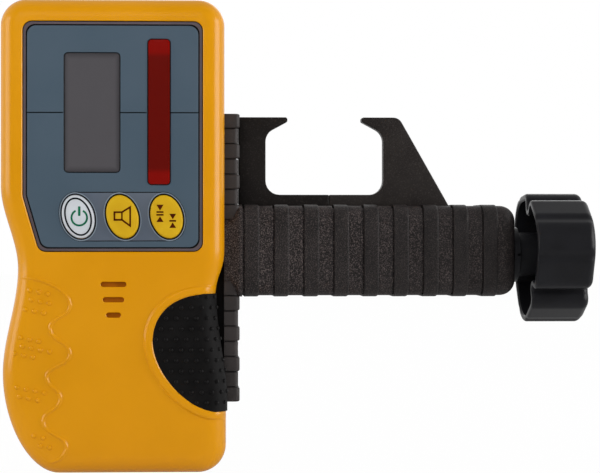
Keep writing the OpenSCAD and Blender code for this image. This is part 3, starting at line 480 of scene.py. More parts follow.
right = [np.array(p) for p in ((HALF_W, at_height(0.525)), (HALF_W - 3.1, at_height(0.634)),
                               (HALF_W + 0.5, at_height(0.85)))]
left = [np.array(p) for p in ((-HALF_W, at_height(0.393)), (-HALF_W + 5.8, at_height(0.568)),
                              (-HALF_W + 0.7, at_height(0.79)))]
outline = clean(np.vstack([
    arc((HALF_W - TOP_R, TOP - TOP_R), TOP_R, 90, 0),
    upright(right[0], right[1], 0.5), upright(right[1], right[2], 0.34),
    arc((HALF_W + 0.5 - LOW_R, LOW + LOW_R), LOW_R, 0, -90),
    level_upright(np.array([-0.476 * HALF_W, LOW]), left[2], 0.515),
    upright(left[2], left[1], 0.34), upright(left[1], left[0], 0.34),
    arc((-HALF_W + TOP_R, TOP - TOP_R), TOP_R, 180, 90)]))
inside = grown(outline, -WALL - 1.6)
panel_left, panel_right, panel_low, panel_top = -30.05, 30.4, -46.7, 30.75
panel_corners = np.array([(panel_left, panel_top), (panel_right, panel_top), (panel_right, panel_low),
                          (panel_left + 5.47, panel_low), (panel_left, panel_low * 0.6)])
panel_outline = rounded(panel_corners, 3.2)
pad_top, pad_low, pad_left = -60.8, -100.5, 13.3
pad_mid = np.array([pad_left, pad_top - (pad_top - pad_low) * 0.4])
pad_a, pad_b = np.array([HALF_W * 0.83, pad_top]), np.array([HALF_W * 0.92, pad_low])
pad_curve = np.vstack([upright_level(pad_mid, pad_b, 0.442)[::-1], level_upright(pad_a, pad_mid, 0.595)[::-1][1:]])
print("outline points:", len(outline))


def on_case(points, lift=0.0):
    """Places points of the front view on the rounded case, lifted off it; also gives the directions off it."""
    points, r = np.asarray(points, float), EDGE_R
    a, b = outline, np.roll(outline, -1, 0)
    ab = b - a
    t = np.clip(((points[:, None] - a) * ab).sum(2) / (ab * ab).sum(1), 0, 1)
    foot = a + t[..., None] * ab
    gap = np.linalg.norm(points[:, None] - foot, axis=2)
    k = gap.argmin(1)
    d = gap[np.arange(len(points)), k]
    edge = ab[k] / np.linalg.norm(ab[k], axis=1)[:, None]
    out = np.column_stack([-edge[:, 1], edge[:, 0]])
    lean = np.clip((r - d) / r, 0, 1)
    facing = np.column_stack([out[:, 0] * lean, -np.sqrt(1 - lean ** 2), out[:, 1] * lean])
    place = np.column_stack([points[:, 0], FRONT + r - r * np.sqrt(1 - lean ** 2), points[:, 1]])
    lift = np.asarray(lift, float)
    return place + facing * (lift[:, None] if lift.ndim else lift), facing


# %% [markdown]
# ## Front and rear case halves
# Two hollow halves meet at a parting line with a small open chamfer, as moulded halves do. The front one is
# rounded with a wide radius. The pocket for the panel and the speaker slots are cut with tools that flare at
# the face, so their rims get a small bevel that catches the light, which a straight cut would not have.

# %% Front half
front = [(-0.35, PARTING), (0, PARTING - 0.35)]
front += [(-i, FRONT + d) for i, d in quarter(EDGE_R, 14)] + [(-EDGE_R - 0.5, FRONT)]
front_case = loft("front_case", [front_ring(grown(outline, g), y) for g, y in front])


def flared(name, p, face, depth, rim, above=1.0):
    """Cutter that leaves a bevelled rim on a face that points to the viewer."""
    return loft(name, [front_ring(grown(p, rim + above), face - above), front_ring(p, face + rim),
                       front_ring(p, face + depth)])


def foot_seat():
    """Cutter for the flat seat of the clamp's foot on the side of the case."""
    return block("foot_seat", (HALF_W, -26.15, -97.65), (HALF_W + 4, -1.85, 0.5))


SLOT_W, SLOT_H, SLOT_R, SLOT_X, SLOT_TOP, SLOT_STEP = 8.6, 1.7, 0.84, 0.4, -57.6, 5.15
slots = []
for k, share in enumerate((1, 0.83, 0.57)):
    shape = oblong(SLOT_W * share, SLOT_H, SLOT_R, (SLOT_X, SLOT_TOP - SLOT_STEP * k))
    slots.append(flared(f"slot{k}", shape, FRONT, 2.9, 0.22))
cut(front_case, prism("hollow", inside, FRONT + WALL, PARTING + 2),
    flared("pocket", panel_outline, FRONT, 0.8, 0.3), *slots,
    block("under_panel", (-24, FRONT, -42), (26, FRONT + 6, 27)), foot_seat())
finish_piece(front_case, ABS_ORANGE, "receiver", "orange_shell", "front_shell")
# behind the slots lies a plate in the case's orange darkened to brown: painted shade, on top of the real shade of
# its depth
SLOT_SHADE_BROWN = grained("slot_shade_brown", ("#985409", "#A75E0E"), 0.9, 0.25, 0.05, 3.0, gloss=0.1)
slot_shade = prism("slot_shade_plate", oblong(11, 14, 1, (SLOT_X, -62.7)), FRONT + 1.5, FRONT + 2.38)
finish_piece(slot_shade, SLOT_SHADE_BROWN, "receiver", "orange_shell")

# %% Rear half
rear = [(-0.35, PARTING), (0, PARTING + 0.35)]
rear += [(-i, -d) for i, d in quarter(BACK_R, 8)] + [(-BACK_R - 0.5, 0.0)]
rear_case = loft("rear_case", [front_ring(grown(outline, g), y) for g, y in rear])
BAY_W, BAY_Z0, BAY_Z1, BAY_Y, RIM = 29.6, -115.16, -59.16, -18.5, 1.6
DOOR_W, DOOR_Z0, DOOR_Z1, DOOR_T = 32.6, -113.16, -57.66, 2.2
hollow = prism("hollow", inside, PARTING - 1, -WALL)
cut(hollow, block("bay_wall", (-BAY_W / 2 - RIM, BAY_Y - RIM, LOW - 2), (BAY_W / 2 + RIM, 1, BAY_Z1 + RIM)),
    block("door_ledge", (-DOOR_W / 2 - RIM, -DOOR_T - RIM, LOW - 2), (DOOR_W / 2 + RIM, 1, DOOR_Z1 + RIM)))
case_screws = [(-30.12, 30.92), (30.12, 30.92), (29.736, -111.8), (-23.814, -109.112)]
door_hole = oblong(DOOR_W + 0.6, DOOR_Z1 - DOOR_Z0 + 1.02, 1.1, (0, (DOOR_Z1 + DOOR_Z0) / 2 - 0.21))
tools = [hollow, block("bay", (-BAY_W / 2, BAY_Y, BAY_Z0), (BAY_W / 2, -DOOR_T - 0.2, BAY_Z1)),
         block("bay_mouth", (-BAY_W / 2, -DOOR_T - 1, DOOR_Z0), (BAY_W / 2, 1, BAY_Z1)),
         loft("door_hole", [front_ring(door_hole, -DOOR_T), front_ring(door_hole, -0.3),
                            front_ring(grown(door_hole, 1.3), 1.0)])]
HINGE_X, HINGE_HALF, SEAT_R = 10.106, 3.18, 3.13
for x in (-HINGE_X, HINGE_X):
    tools.append(block("hinge", (x - HINGE_HALF, -3.68, -118.56), (x + HINGE_HALF, 1, DOOR_Z0 + 0.2)))
for x, z in case_screws:
    ring = arc((x, z), SEAT_R, 0, -360, 40)[:-1]
    tools.append(loft("head_seat", [front_ring(ring, -2.68), front_ring(ring, -0.3),
                                    front_ring(grown(ring, 1.3), 1.0)]))
cut(rear_case, *tools, foot_seat())
finish_piece(rear_case, ABS_ORANGE, "receiver", "orange_shell", "rear_shell")

# %% [markdown]
# ## Raised lines on the case
# A flat-topped lip runs round the thumb pad, and a wavy bead marks off the finger grip on the other side. Both are
# part of the moulding and follow the rounded edge, so each is a strip whose cross-section is carried along a curve
# and laid on the case by `on_case`. The strip reaches a little into the wall, so no seam shows from outside.

# %% Strip helper, pad lip and grip bead
def strip(name, path, profile, fade, sink=0.5):
    """Closed strip along a path of the front view; profile lists (offset to the outside, height).
    Its height runs out over the last stretch of the given length at both ends."""
    walked = np.append(0, np.cumsum(np.linalg.norm(np.diff(path, axis=0), axis=1)))
    tall = np.sin(np.clip(np.minimum(walked, walked[-1] - walked) / fade, 0.03, 1) * math.pi / 2)
    ahead = np.gradient(path, axis=0)
    ahead /= np.linalg.norm(ahead, axis=1)[:, None]
    out = np.column_stack([ahead[:, 1], -ahead[:, 0]])
    rows = list(profile) + [(o, -sink) for o, h in profile[::-1]]
    columns = [on_case(path + out * o, h * tall if h > 0 else np.full(len(path), h))[0] for o, h in rows]
    return loft(name, [np.array([c[k] for c in columns]) for k in range(len(path))])


def edge_x(z):
    """X of the right edge of the case at a height, between its two corner arcs."""
    side = outline[(outline[:, 0] > 30) & (outline[:, 1] < 29) & (outline[:, 1] > -111)]
    side = side[side[:, 1].argsort()]
    return np.interp(z, side[:, 1], side[:, 0])


run_in = np.linspace(edge_x(pad_top) - 0.05, pad_a[0], 8)[:-1]
run_out = np.linspace(pad_b[0], edge_x(pad_low) - 0.05, 6)[1:]
pad_path = np.vstack([np.column_stack([run_in, np.full(7, pad_top)]), pad_curve[::-1],
                      np.column_stack([run_out, np.full(5, pad_low)])])
lip_profile = [(-0.6, 0.3), (0.0, 0.6), (0.2, 0.8), (0.8, 0.85), (1.4, 0.85), (2.0, 0.8)]
lip_profile += [(2.0 + t, 0.4 + 0.4 * math.cos(math.pi * t) - 0.05 * t) for t in np.linspace(0, 1, 8)[1:]]
finish_piece(strip("pad_lip", pad_path, lip_profile, 7.0), ABS_ORANGE, "receiver", "orange_shell")

crests = [(-0.80, 0.587), (-0.373, 0.645), (-0.55, 0.693), (-0.373, 0.747), (-0.58, 0.795), (-0.458, 0.84),
          (-0.61, 0.888), (-0.405, 0.943), (-0.57, 0.974)]
crests = [np.array([HALF_W * s, at_height(h)]) for s, h in crests]
bead_path = [level_upright(crests[0], crests[1], 0.5)]
bead_path += [upright(a, b, 0.5)[1:] for a, b in zip(crests[1:-2], crests[2:-1])]
bead_path = np.vstack(bead_path + [upright_level(crests[-2], crests[-1], 0.5)[1:]])
BEAD_W, BEAD_H = 0.8, 0.55
bead_profile = [(o, BEAD_H * math.cos(o / BEAD_W * math.pi / 2) ** 2 - 0.03)
                for o in np.linspace(-BEAD_W, BEAD_W, 11)]
finish_piece(strip("grip_bead", bead_path, bead_profile, 5.0), ABS_ORANGE, "receiver", "orange_shell")

# %% [markdown]
# ## Bumps by Geometry Nodes
# The pad and the grip carry small dome bumps. One node tree puts a low dome on every point it is given and turns
# it to the surface with the point's `facing` value. The lower half of each dome is sunk, so it needs few faces.

# %% A tree of studs
def new_tree(name, sockets):
    """Starts a tree with a geometry input, named inputs and a geometry output."""
    tree = bpy.data.node_groups.new(name, "GeometryNodeTree")
    tree.interface.new_socket("Geometry", in_out="INPUT", socket_type="NodeSocketGeometry")
    for label, kind in sockets:
        tree.interface.new_socket(label, in_out="INPUT", socket_type="NodeSocket" + kind)
    tree.interface.new_socket("Geometry", in_out="OUTPUT", socket_type="NodeSocketGeometry")
    return tree, add(tree, "NodeGroupInput").outputs


def end_tree(tree, instances, finish):
    """Ends a tree in real faces with a finish, because the export drops instances."""
    real = add(tree, "GeometryNodeRealizeInstances", {"Geometry": instances})
    painted = add(tree, "GeometryNodeSetMaterial", {"Geometry": real.outputs["Geometry"], "Material": finish})
    add(tree, "NodeGroupOutput", {"Geometry": painted.outputs["Geometry"]})


def run_tree(name, mesh, tree, **values):
    """Runs a tree on a mesh. A modifier's input is set by the socket's identifier, not by its name."""
    piece = link(name, mesh)
    grow = piece.modifiers.new("grow", "NODES")
    grow.node_group = tree
    for item in tree.interface.items_tree:
        if item.in_out == "INPUT" and item.name in values:
            grow[item.identifier] = values[item.name]
    return settle(piece)


def set_on_points(tree, given, shape, size):
    """Sets a shape of a size on every point, turned to the point's facing, and ends the tree."""
    facing = add(tree, "GeometryNodeInputNamedAttribute", {"Name": "facing"}, data_type="FLOAT_VECTOR")
    turn = add(tree, "FunctionNodeAlignRotationToVector", {"Vector": facing.outputs["Attribute"]}, axis="Z")
    spread = add(tree, "GeometryNodeInstanceOnPoints", {
        "Points": given["Geometry"], "Instance": shape, "Rotation": turn.outputs["Rotation"], "Scale": size})
    end_tree(tree, spread.outputs["Instances"], given["Finish"])


def points_with(name, points, **vectors):
    """Loose points with named vectors that a tree can read."""
    mesh = mesh_of(name, points, [], outward=False)
    for label, values in vectors.items():
        mesh.attributes.new(label, "FLOAT_VECTOR", "POINT").data.foreach_set("vector", np.ravel(values))
    return mesh


studs, given = new_tree("studs_on_points", [("Radius", "Float"), ("Height", "Float"), ("Finish", "Material")])
dome = add(studs, "GeometryNodeMeshUVSphere", {"Segments": 12, "Rings": 6, "Radius": 1.0})
size = add(studs, "ShaderNodeCombineXYZ", {"X": given["Radius"], "Y": given["Radius"], "Z": given["Height"]})
set_on_points(studs, given, dome.outputs["Mesh"], size.outputs["Vector"])


def stud_points(name, points, lift=0.0):
    place, off = on_case(points, lift)
    return points_with(name, place, facing=off)


# %% Grip bumps
# each row of the four groups: its first bump and how many there are, down to the right
GRIP_STEP = (3.05, -0.62)
grip_rows = ((-27.6, -59.5, 3), (-27.1, -62.7, 3), (-29.0, -65.9, 3), (-30.6, -75.4, 3), (-30.1, -78.3, 4),
             (-32.6, -80.7, 3), (-31.8, -92.0, 4), (-31.0, -95.1, 3), (-26.2, -108.3, 2), (-24.0, -111.6, 2))
grip_dots = [(x + GRIP_STEP[0] * k, z + GRIP_STEP[1] * k) for x, z, count in grip_rows for k in range(count)]
grip = run_tree("grip_bumps", stud_points("grip_dots", grip_dots), studs,
                Radius=0.85 * MM, Height=0.62 * MM, Finish=ABS_ORANGE)
finish_piece(grip, ABS_ORANGE, "receiver", "orange_shell")

# %% Thumb pad and its bumps
skin = [(0.5, PARTING - 0.4)] + [(0.5 - i, FRONT - 0.5 + d) for i, d in quarter(EDGE_R + 0.5, 14)]
skin += [(-EDGE_R - 0.5, FRONT - 0.5)]
thumb_pad = loft("thumb_pad_rubber", [front_ring(grown(outline, g), y) for g, y in skin])
pad_outline = clean(np.vstack([[(42.3, pad_low)], [pad_b], pad_curve[1:-1], [pad_a], [(42.3, pad_top)]]))
cut(thumb_pad, prism("pad_edge", pad_outline, FRONT - 2, PARTING), operation="INTERSECT")
cut(thumb_pad, loft("pad_back", [front_ring(grown(outline, -1.0 - i), y) for i, y in
                                 [(0, PARTING + 1)] + [(i, FRONT + 1 + d) for i, d in quarter(5.5, 8)]]))
finish_piece(thumb_pad, RUBBER_AND_GAP_SHADE, "receiver", "black_rubber", "thumb_pad")
PAD_FIRST, PAD_STEP, PAD_ROW = 14.6, 3.4, 3.55
pad_dots = []
for row in range(11):
    z = pad_top - 1.1 - row * PAD_ROW
    bend = edge_x(z) - EDGE_R
    rim = np.interp(z, pad_curve[:, 1], pad_curve[:, 0])
    for column in range(11):
        walked = PAD_FIRST + column * PAD_STEP + (row % 2) * PAD_STEP / 2
        bent = max(0, walked - bend) / EDGE_R
        if walked > rim + 1.2 and bent < 1.5 and pad_low + 2.0 < z:
            pad_dots.append((min(walked, bend) + EDGE_R * math.sin(bent), z))
dots = run_tree("pad_bumps", stud_points("pad_dots", pad_dots, 0.5), studs,
                Radius=0.72 * MM, Height=0.68 * MM, Finish=PAD_POLISHED)
finish_piece(dots, PAD_POLISHED, "receiver", "black_rubber")
print("bumps:", len(grip_dots), "on the grip,", len(pad_dots), "on the pad")

# %% [markdown]
# ## Panel, windows and keys
# The panel is a printed film on a thin plate, let into the case, with a scored border line and an index line at
# the height where the laser is on grade. Its holes are bevelled. The red window stands a little proud of it.
# The keys are ovals tilted to the thumb, all in one shallow trough and each free to be pressed.

# %% Panel
PANEL_Y = FRONT + 0.2
panel_rings = [(0, PANEL_Y + 0.3), (0, PANEL_Y + 0.12), (-0.16, PANEL_Y), (-0.5, PANEL_Y)]
panel_inside = rounded(grown(panel_corners, -1.58), 3.0)
panel = loft("panel_plate", [front_ring(grown(panel_inside, g), y) for g, y in panel_rings])
KEY_W, KEY_H, KEY_TILT, KEY_Z, POWER_X = 10.55, 14.8, math.radians(16.5), -34.9, -11.4


def oval(x, w=KEY_W, h=KEY_H, n=72):
    """Outline of a key, or of a ring on it, tilted to the thumb."""
    a = np.radians(-np.arange(n) * 360 / n)
    u, v = w / 2 * np.cos(a), h / 2 * np.sin(a)
    c, s = math.cos(KEY_TILT), math.sin(KEY_TILT)
    return np.column_stack([x + u * c - v * s, KEY_Z + u * s + v * c])


KEYS = (("power_key", "power_button", POWER_X, KEY_WHITE, "white_key"),
        ("sound_key", "sound_button", 3.4, KEY_YELLOW, "yellow_key"),
        ("precision_key", "precision_button", 18.2, KEY_YELLOW, "yellow_key"))
key_x = [key[2] for key in KEYS]
display = oblong(18.6, 40.0, 1.3, (-6.78, 0))
sensor = oblong(7.4, 48.7, 1.2, (15.65, 0.25))
# the trough is one oval, parted along its long axis and drawn out from the first key to the last
trough = grown(oval(0), 1.05)
ends = trough[[trough[:, 1].argmin(), trough[:, 1].argmax()]]
leans_right = trough[:, 0] > np.interp(trough[:, 1], ends[:, 1], ends[:, 0])
trough[:, 0] += np.where(leans_right, key_x[-1], key_x[0])
index_lines = ((-29.1, -16.5), (2.7, 11.5), (19.5, 29.1))
cut(panel, flared("trough", trough, PANEL_Y, 2, 0.1),
    flared("display", grown(display, 0.22), PANEL_Y, 2, 0.12),
    flared("sensor", grown(sensor, 0.22), PANEL_Y, 2, 0.12),
    *[block("index", (x0, PANEL_Y - 1, -0.2), (x1, PANEL_Y + 0.2, 0.2)) for x0, x1 in index_lines])
finish_piece(panel, PANEL_FILM, "receiver", "grey_panel", "front_panel")

# the sunk field round the keys is the same film, printed a little paler
FIELD_FILM = grained("polycarbonate_film_field", ("#525B68", "#58606C"), 0.42, 0.35, 0.006, 16.0, gloss=0.2,
                     ior=1.58)
field = prism("key_field", grown(trough, -0.28), PANEL_Y + 0.17, PANEL_Y + 0.36)
cut(field, *[prism("key", grown(oval(x), 0.5), FRONT - 1, 0) for x in key_x])
finish_piece(field, FIELD_FILM, "receiver", "grey_panel")

# the dark strips at the bottom of the index grooves are painted shade, which darkens the grooves
index_groove_shade = joined("index_groove_shade", *[block("ink", (x0, PANEL_Y + 0.12, -0.19), (x1, PANEL_Y + 0.3, 0.19))
                                  for x0, x1 in index_lines])
finish_piece(index_groove_shade, DARK_INK_AND_GROOVE_SHADE, "receiver", "grey_panel")
# a black sheet lies under the panel; where it shows, in the gap round the panel, at the bottom of the scored line
# and round each key, it is painted shade of those gaps
gap_shade_sheet = prism("panel_gap_shade", grown(panel_outline, -0.03), PANEL_Y + 0.3, FRONT + 0.8)
cut(gap_shade_sheet, prism("display", display, FRONT - 1, 0), prism("sensor", sensor, FRONT - 1, 0),
    *[prism("key", grown(oval(x), 0.12), FRONT - 1, 0) for x in key_x])
finish_piece(gap_shade_sheet, RUBBER_AND_GAP_SHADE, "receiver", "black_rubber")

# %% Border and key rims
def hoop(name, inner, outer, y0, y1):
    """Flat closed band between two outlines with the same number of points."""
    rings = [front_ring(outer, y0), front_ring(inner, y0), front_ring(inner, y1), front_ring(outer, y1)]
    m = len(inner)
    faces = [[j * m + k, j * m + (k + 1) % m, (j + 1) % 4 * m + (k + 1) % m, (j + 1) % 4 * m + k]
             for j in range(4) for k in range(m)]
    return link(name, mesh_of(name, np.vstack(rings), faces))


# the border frame outside the scored line is painted a warm grey: a painted reflection of the orange case beside
# it
BORDER_ORANGE_REFLECTION = grained("polycarbonate_film_border_orange_reflection", ("#54494C", "#5C5053"), 0.4, 0.35, 0.006, 8.0, gloss=0.25,
                      ior=1.58)
border = hoop("panel_border", rounded(grown(panel_corners, -1.1), 3.1), grown(panel_outline, -0.34),
              PANEL_Y + 0.06, PANEL_Y + 0.4)
finish_piece(border, BORDER_ORANGE_REFLECTION, "receiver", "grey_panel")
# a thin rim round each key is painted paler still: a painted highlight where the edge of each key's hole catches
# the light
KEY_RIM_HIGHLIGHT = grained("polycarbonate_film_rim_highlight", ("#6E7A86", "#78848F"), 0.4, 0.35, 0.006, 8.0, gloss=0.35, ior=1.58)
rims = [hoop("rim", grown(oval(x), 0.55), grown(oval(x), 0.9), PANEL_Y + 0.1, PANEL_Y + 0.4) for x in key_x]
finish_piece(joined("key_rims", *rims), KEY_RIM_HIGHLIGHT, "receiver", "grey_panel")

# %% Windows
def pane(name, p, face, bevel, finish, slot, node, play=-0.06):
    """Window pane with a bevelled face, a little smaller than its hole."""
    rings = [(play, FRONT + 2.4), (play, face + bevel), (play - bevel * 0.3, face + bevel * 0.3),
             (play - bevel, face), (play - bevel - 0.4, face)]
    piece = loft(name, [front_ring(grown(p, g), y) for g, y in rings])
    finish_piece(piece, finish, "receiver", slot, node)


pane("display_pane", display, PANEL_Y + 0.08, 0.18, GREY_ACRYLIC_EDGE_SHADE, "display_glass", "display_window")
pane("sensor_pane", sensor, FRONT - 0.2, 0.3, RED_ACRYLIC, "red_filter", "sensor_window")

# %% Keys
KEY_Y = FRONT - 0.8
for body, node, x, finish, slot in KEYS:
    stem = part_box(node)[1][1] / MM
    rings = [(-4.0, stem), (-4.0, FRONT + 3.0), (0.6, FRONT + 3.0), (0.6, FRONT + 2.4), (0, FRONT + 2.4)]
    rings += [(-i, KEY_Y + d) for i, d in quarter(0.7, 6)] + [(-1.6, KEY_Y - 0.05), (-3.0, KEY_Y - 0.08)]
    key = loft(node + "_cap", [front_ring(grown(oval(x), g), y) for g, y in rings])
    finish_piece(key, finish, body, slot, node)

# %% [markdown]
# ## Printed signs
# The signs are pad-printed ink: a ring and a power sign, a loudspeaker, and two pairs of arrows. Each is a thin
# closed solid that is sunk in its key, so it moves with the key and can't flicker against it.

# %% Signs on the keys
INK_Y = (KEY_Y - 0.14, KEY_Y + 0.2)
ring = hoop("power_ring", oval(POWER_X, 7.8, 12.0), oval(POWER_X, 8.9, 13.1), *INK_Y)
finish_piece(ring, DARK_INK_AND_GROOVE_SHADE, "power_key", "white_key")
sign_at, gap_from, gap_to = (-11.0, -35.25), 118, 118 + 304
open_ring = np.vstack([arc(sign_at, 2.92, gap_from, gap_to, 40)[::-1], arc(sign_at, 2.27, gap_from, gap_to, 40)])
sign = joined("power_sign", prism("sign", open_ring, *INK_Y),
              prism("bar", oblong(0.82, 3.2, 0.2, (sign_at[0], sign_at[1] + 2.2), 4), *INK_Y))
finish_piece(sign, INK_GREEN, "power_key", "white_key")
speaker = np.array([(0.74, -33.4), (3.25, -33.4), (6.0, -31.7), (6.0, -38.0), (3.25, -35.96), (0.74, -35.96)])
sign = joined("sound_sign", hoop("sign", grown(speaker, -0.3), grown(speaker, 0.3), *INK_Y),
              prism("bar", oblong(0.5, 2.4, 0, (3.25, -34.68)), *INK_Y))
finish_piece(sign, INK_BROWN, "sound_key", "yellow_key")
arrows = []
for x, half, down, bars, up in ((15.98, 1.18, (-30.9, -32.84), (-33.34, -34.28), (-34.82, -36.67)),
                                (20.24, 1.13, (-33.93, -35.76), (-36.3,), (-36.8, -38.65))):
    arrows.append(prism("down", np.array([(x - half, down[0]), (x + half, down[0]), (x, down[1])]), *INK_Y))
    arrows.append(prism("up", np.array([(x, up[0]), (x + half, up[1]), (x - half, up[1])]), *INK_Y))
    arrows += [prism("bar", oblong(2 * half, 0.54, 0, (x, z)), *INK_Y) for z in bars]
finish_piece(joined("precision_sign", *arrows), INK_BROWN, "precision_key", "yellow_key")

# %% [markdown]
# ## Clamp arm and foot
# The arm is a long rounded bar of glass-filled nylon with proud bands at an even pitch, each with a crisp left
# edge and a groove before it, as a split tool leaves them. The foot is the ribbed plate screwed to the case. The
# bars are lofts; the bands and the foot's ribs are copies that one node tree sets out in a row, as all are alike.

# %% A tree of copies in a row
rows, given = new_tree("copies_in_a_row", [("Count", "Int"), ("Step", "Vector"), ("Finish", "Material")])
line = add(rows, "GeometryNodeMeshLine", {"Count": given["Count"], "Offset": given["Step"]}, mode="OFFSET")
copies = add(rows, "GeometryNodeInstanceOnPoints", {"Points": line.outputs["Mesh"], "Instance": given["Geometry"]})
end_tree(rows, copies.outputs["Instances"], given["Finish"])


def row_of(piece, count, step, finish):
    name, mesh = piece.name, piece.data
    bpy.data.objects.remove(piece)
    return run_tree(name, mesh, rows, Count=count, Step=tuple(s * MM for s in step), Finish=finish)


# %% Arm
ARM_MID, AXIS = (-14.0, -46.4), (-14.0, -47.9)
ARM_X0, ARM_X1, PITCH, RIB_X, BANDS = 37.85, 138.2, 10.24, 44.79, 9
JAW_SCREW_X, JAW_SCREW_Z = (49.82, 67.84), -35.7
arm_outline = oblong(27.2, 30.8, 5.5, n=12)
arm_rings = [(0.4, RIB_X - 0.74)]
for k in range(BANDS):
    x = RIB_X + k * PITCH
    arm_rings += [(0, x - 0.62), (-0.8, x - 0.55), (-0.8, x), (0, x + 0.02)]
arm_rings += [(-i, ARM_X1 - d) for i, d in quarter(5.2, 10)] + [(-5.35, ARM_X1)]
# the root widens from the case to the arm: depth, height and place of each ring
root = [(oblong(depth, tall, 5.0, n=12), x) for depth, tall, x in (
    (26.2, 23.6, ARM_X0), (26.4, 24.0, 39.6), (26.5, 24.5, 40.0),
    (27.4, 30.4, 42.1), (27.8, 31.3, 42.5), (28.0, 31.6, 43.1))]
root += [(grown(arm_outline, g), x) for g, x in arm_rings]
arm = loft("arm_core", [side_ring(p, x, ARM_MID) for p, x in root])
band = [(-1.0, 0.0), (0.3, 0.0), (0.4, 0.1)] + [(0.4 - i, PITCH / 2 - d) for i, d in quarter(0.9, 6)]
band += [(-1.0, PITCH / 2)]
bands = row_of(loft("arm_bands", [side_ring(grown(arm_outline, g), RIB_X + x, ARM_MID) for g, x in band]),
               BANDS, (PITCH, 0, 0), NYLON_BAND)


def arm_tools():
    """Room for the jaw web, the nut, the screw and the heads of the jaw screws."""
    made = [block("slot", (44.38, AXIS[0] - 2.8, AXIS[1] + 7.1), (131.6, AXIS[0] + 2.8, AXIS[1] + 20)),
            block("channel", (78.64, AXIS[0] - 7.2, AXIS[1] - 7.2), (131.6, AXIS[0] + 7.2, AXIS[1] + 7.2)),
            rod("bore", "x", 130, 140, AXIS, 5.5)]
    return made + [rod("head", "y", -2.9, 2, (x, JAW_SCREW_Z), 3.4, 32) for x in JAW_SCREW_X]


cut(arm, *arm_tools())
cut(bands, *arm_tools())
finish_piece(arm, NYLON_GRAIN, "receiver", "textured_black", "clamp_body", "end_plug")
finish_piece(bands, NYLON_BAND, "receiver", "textured_black")

# %% Foot
FOOT_X1, FOOT_RIB, FOOT_TOP, FOOT_HALF = 43.15, 5.19, 0.35, 12.5
FLUSH, DEEP = 0.5, 1.4  # insets of the core between its grooves and in them
FOOT_SCREWS = [(AXIS[0] + side * 6.96, z) for side in (-1, 1) for z in (-14.38, -79.81)]


def foot_ring(inset, z):
    """Ring of the foot; its outer side moves in less than its front and back, so no gap opens at the jaw."""
    x0, x1 = HALF_W, FOOT_X1 - min(inset, FLUSH)
    y0, y1 = AXIS[0] - FOOT_HALF + inset, AXIS[0] + FOOT_HALF - inset
    return top_ring(rounded([(x0, y1), (x1, y1), (x1, y0), (x0, y0)], [0, 1.6, 1.6, 0]), z)


foot_low = FOOT_TOP - 19 * FOOT_RIB
foot_rings = [(DEEP, FOOT_TOP - 0.4), (FLUSH, FOOT_TOP - 1.0)]
for k in range(1, 19):
    z = FOOT_TOP - k * FOOT_RIB + (0.1 if k % 2 else 0.2)
    foot_rings += [(FLUSH, z + 0.24), (DEEP, z + 0.2), (DEEP, z - 0.2), (FLUSH, z - 0.24)]
foot_rings += [(FLUSH, foot_low + 1.0), (DEEP, foot_low + 0.4)]
foot = loft("foot_core", [foot_ring(i, z) for i, z in foot_rings])
rib = [(i, FOOT_TOP - d) for i, d in quarter(0.6, 5)[::-1]]
rib += [(i, FOOT_TOP - FOOT_RIB + 0.3 + d) for i, d in quarter(0.6, 5)]
ribs = row_of(loft("foot_ribs", [foot_ring(i, z) for i, z in rib]), 10, (0, 0, -2 * FOOT_RIB), NYLON_FOOT_SHEEN)
for piece in (foot, ribs):
    cut(piece, *[rod("head", "x", FOOT_X1 - 2.68, FOOT_X1 + 2, place, 3.9, 40) for place in FOOT_SCREWS])
# the heel fills the waist of the case, between the case and the foot. Its black rubber is painted shade: the gap
# there is dark
heel = block("foot_heel", (HALF_W - 3.2, AXIS[0] - 9.5, at_height(0.768)),
             (HALF_W + 1, AXIS[0] + 10.08, at_height(0.556)))
cut(heel, prism("case", outline, -40, 4))
finish_piece(joined("clamp_foot", foot, ribs), NYLON_FOOT_SHEEN, "receiver", "textured_black")
finish_piece(heel, RUBBER_AND_GAP_SHADE, "receiver", "textured_black")

# %% [markdown]
# ## Jaws and knob
# The jaws are thick plates, cut and then tumbled, so all their edges are a little round. Their CAD shape is right,
# so a copy of it is cleaned of its triangle edges and bevelled. The knob is a three-lobed cup with two shallow
# flutes on every lobe, drawn again here with many more points so that its edges roll smoothly.

# %% Bevelled copies of CAD nodes
def bevelled(node, name, width, segments=3):
    work = bmesh.new()
    work.from_mesh(frame["nodes"][node].data)
    bmesh.ops.remove_doubles(work, verts=work.verts, dist=1e-6)
    bmesh.ops.dissolve_limit(work, angle_limit=math.radians(1), verts=work.verts, edges=work.edges)
    mesh = bpy.data.meshes.new(name)
    work.to_mesh(mesh)
    work.free()
    piece = link(name, mesh)
    edge = piece.modifiers.new("edge", "BEVEL")
    edge.width, edge.segments, edge.limit_method = width * MM, segments, "ANGLE"
    edge.angle_limit, edge.use_clamp_overlap = math.radians(35), True
    return settle(piece)


finish_piece(bevelled("fixed_jaw", "fixed_jaw_plate", 0.45), JAW_COAT, "receiver", "jaw_metal", "fixed_jaw")
finish_piece(bevelled("sliding_jaw", "sliding_jaw_plate", 0.45), JAW_RUBBED, "jaw", "jaw_metal", "sliding_jaw")
lid = bevelled("battery_door", "battery_door_lid", 0.35)
finish_piece(lid, ABS_ORANGE, "door", "orange_shell", "battery_door")
ribs = loft("door_ribs", [front_ring(oblong(11.0 - 2 * i, 0.9 - 2 * i, 0.3, (0, -66)), y)
                          for i, y in ((0, -0.4), (0, 0.2), (0.2, 0.4))])
finish_piece(row_of(ribs, 5, (0, 0, -1.9), ABS_ORANGE), ABS_ORANGE, "door", "orange_shell")

# %% Knob
KNOB_R, NOTCH_R, KNOB_X0, KNOB_X1 = 24.2, 13.5, 143.6, 163.6
LOBE_AT, FLUTE_AT, FLUTE_W, FLUTE_DEPTH = (16.5, -103.5, -223.5), (-17, 17), 2.7, 0.75


def polar(r, degrees):
    return np.array([r * math.cos(math.radians(degrees)), r * math.sin(math.radians(degrees))])


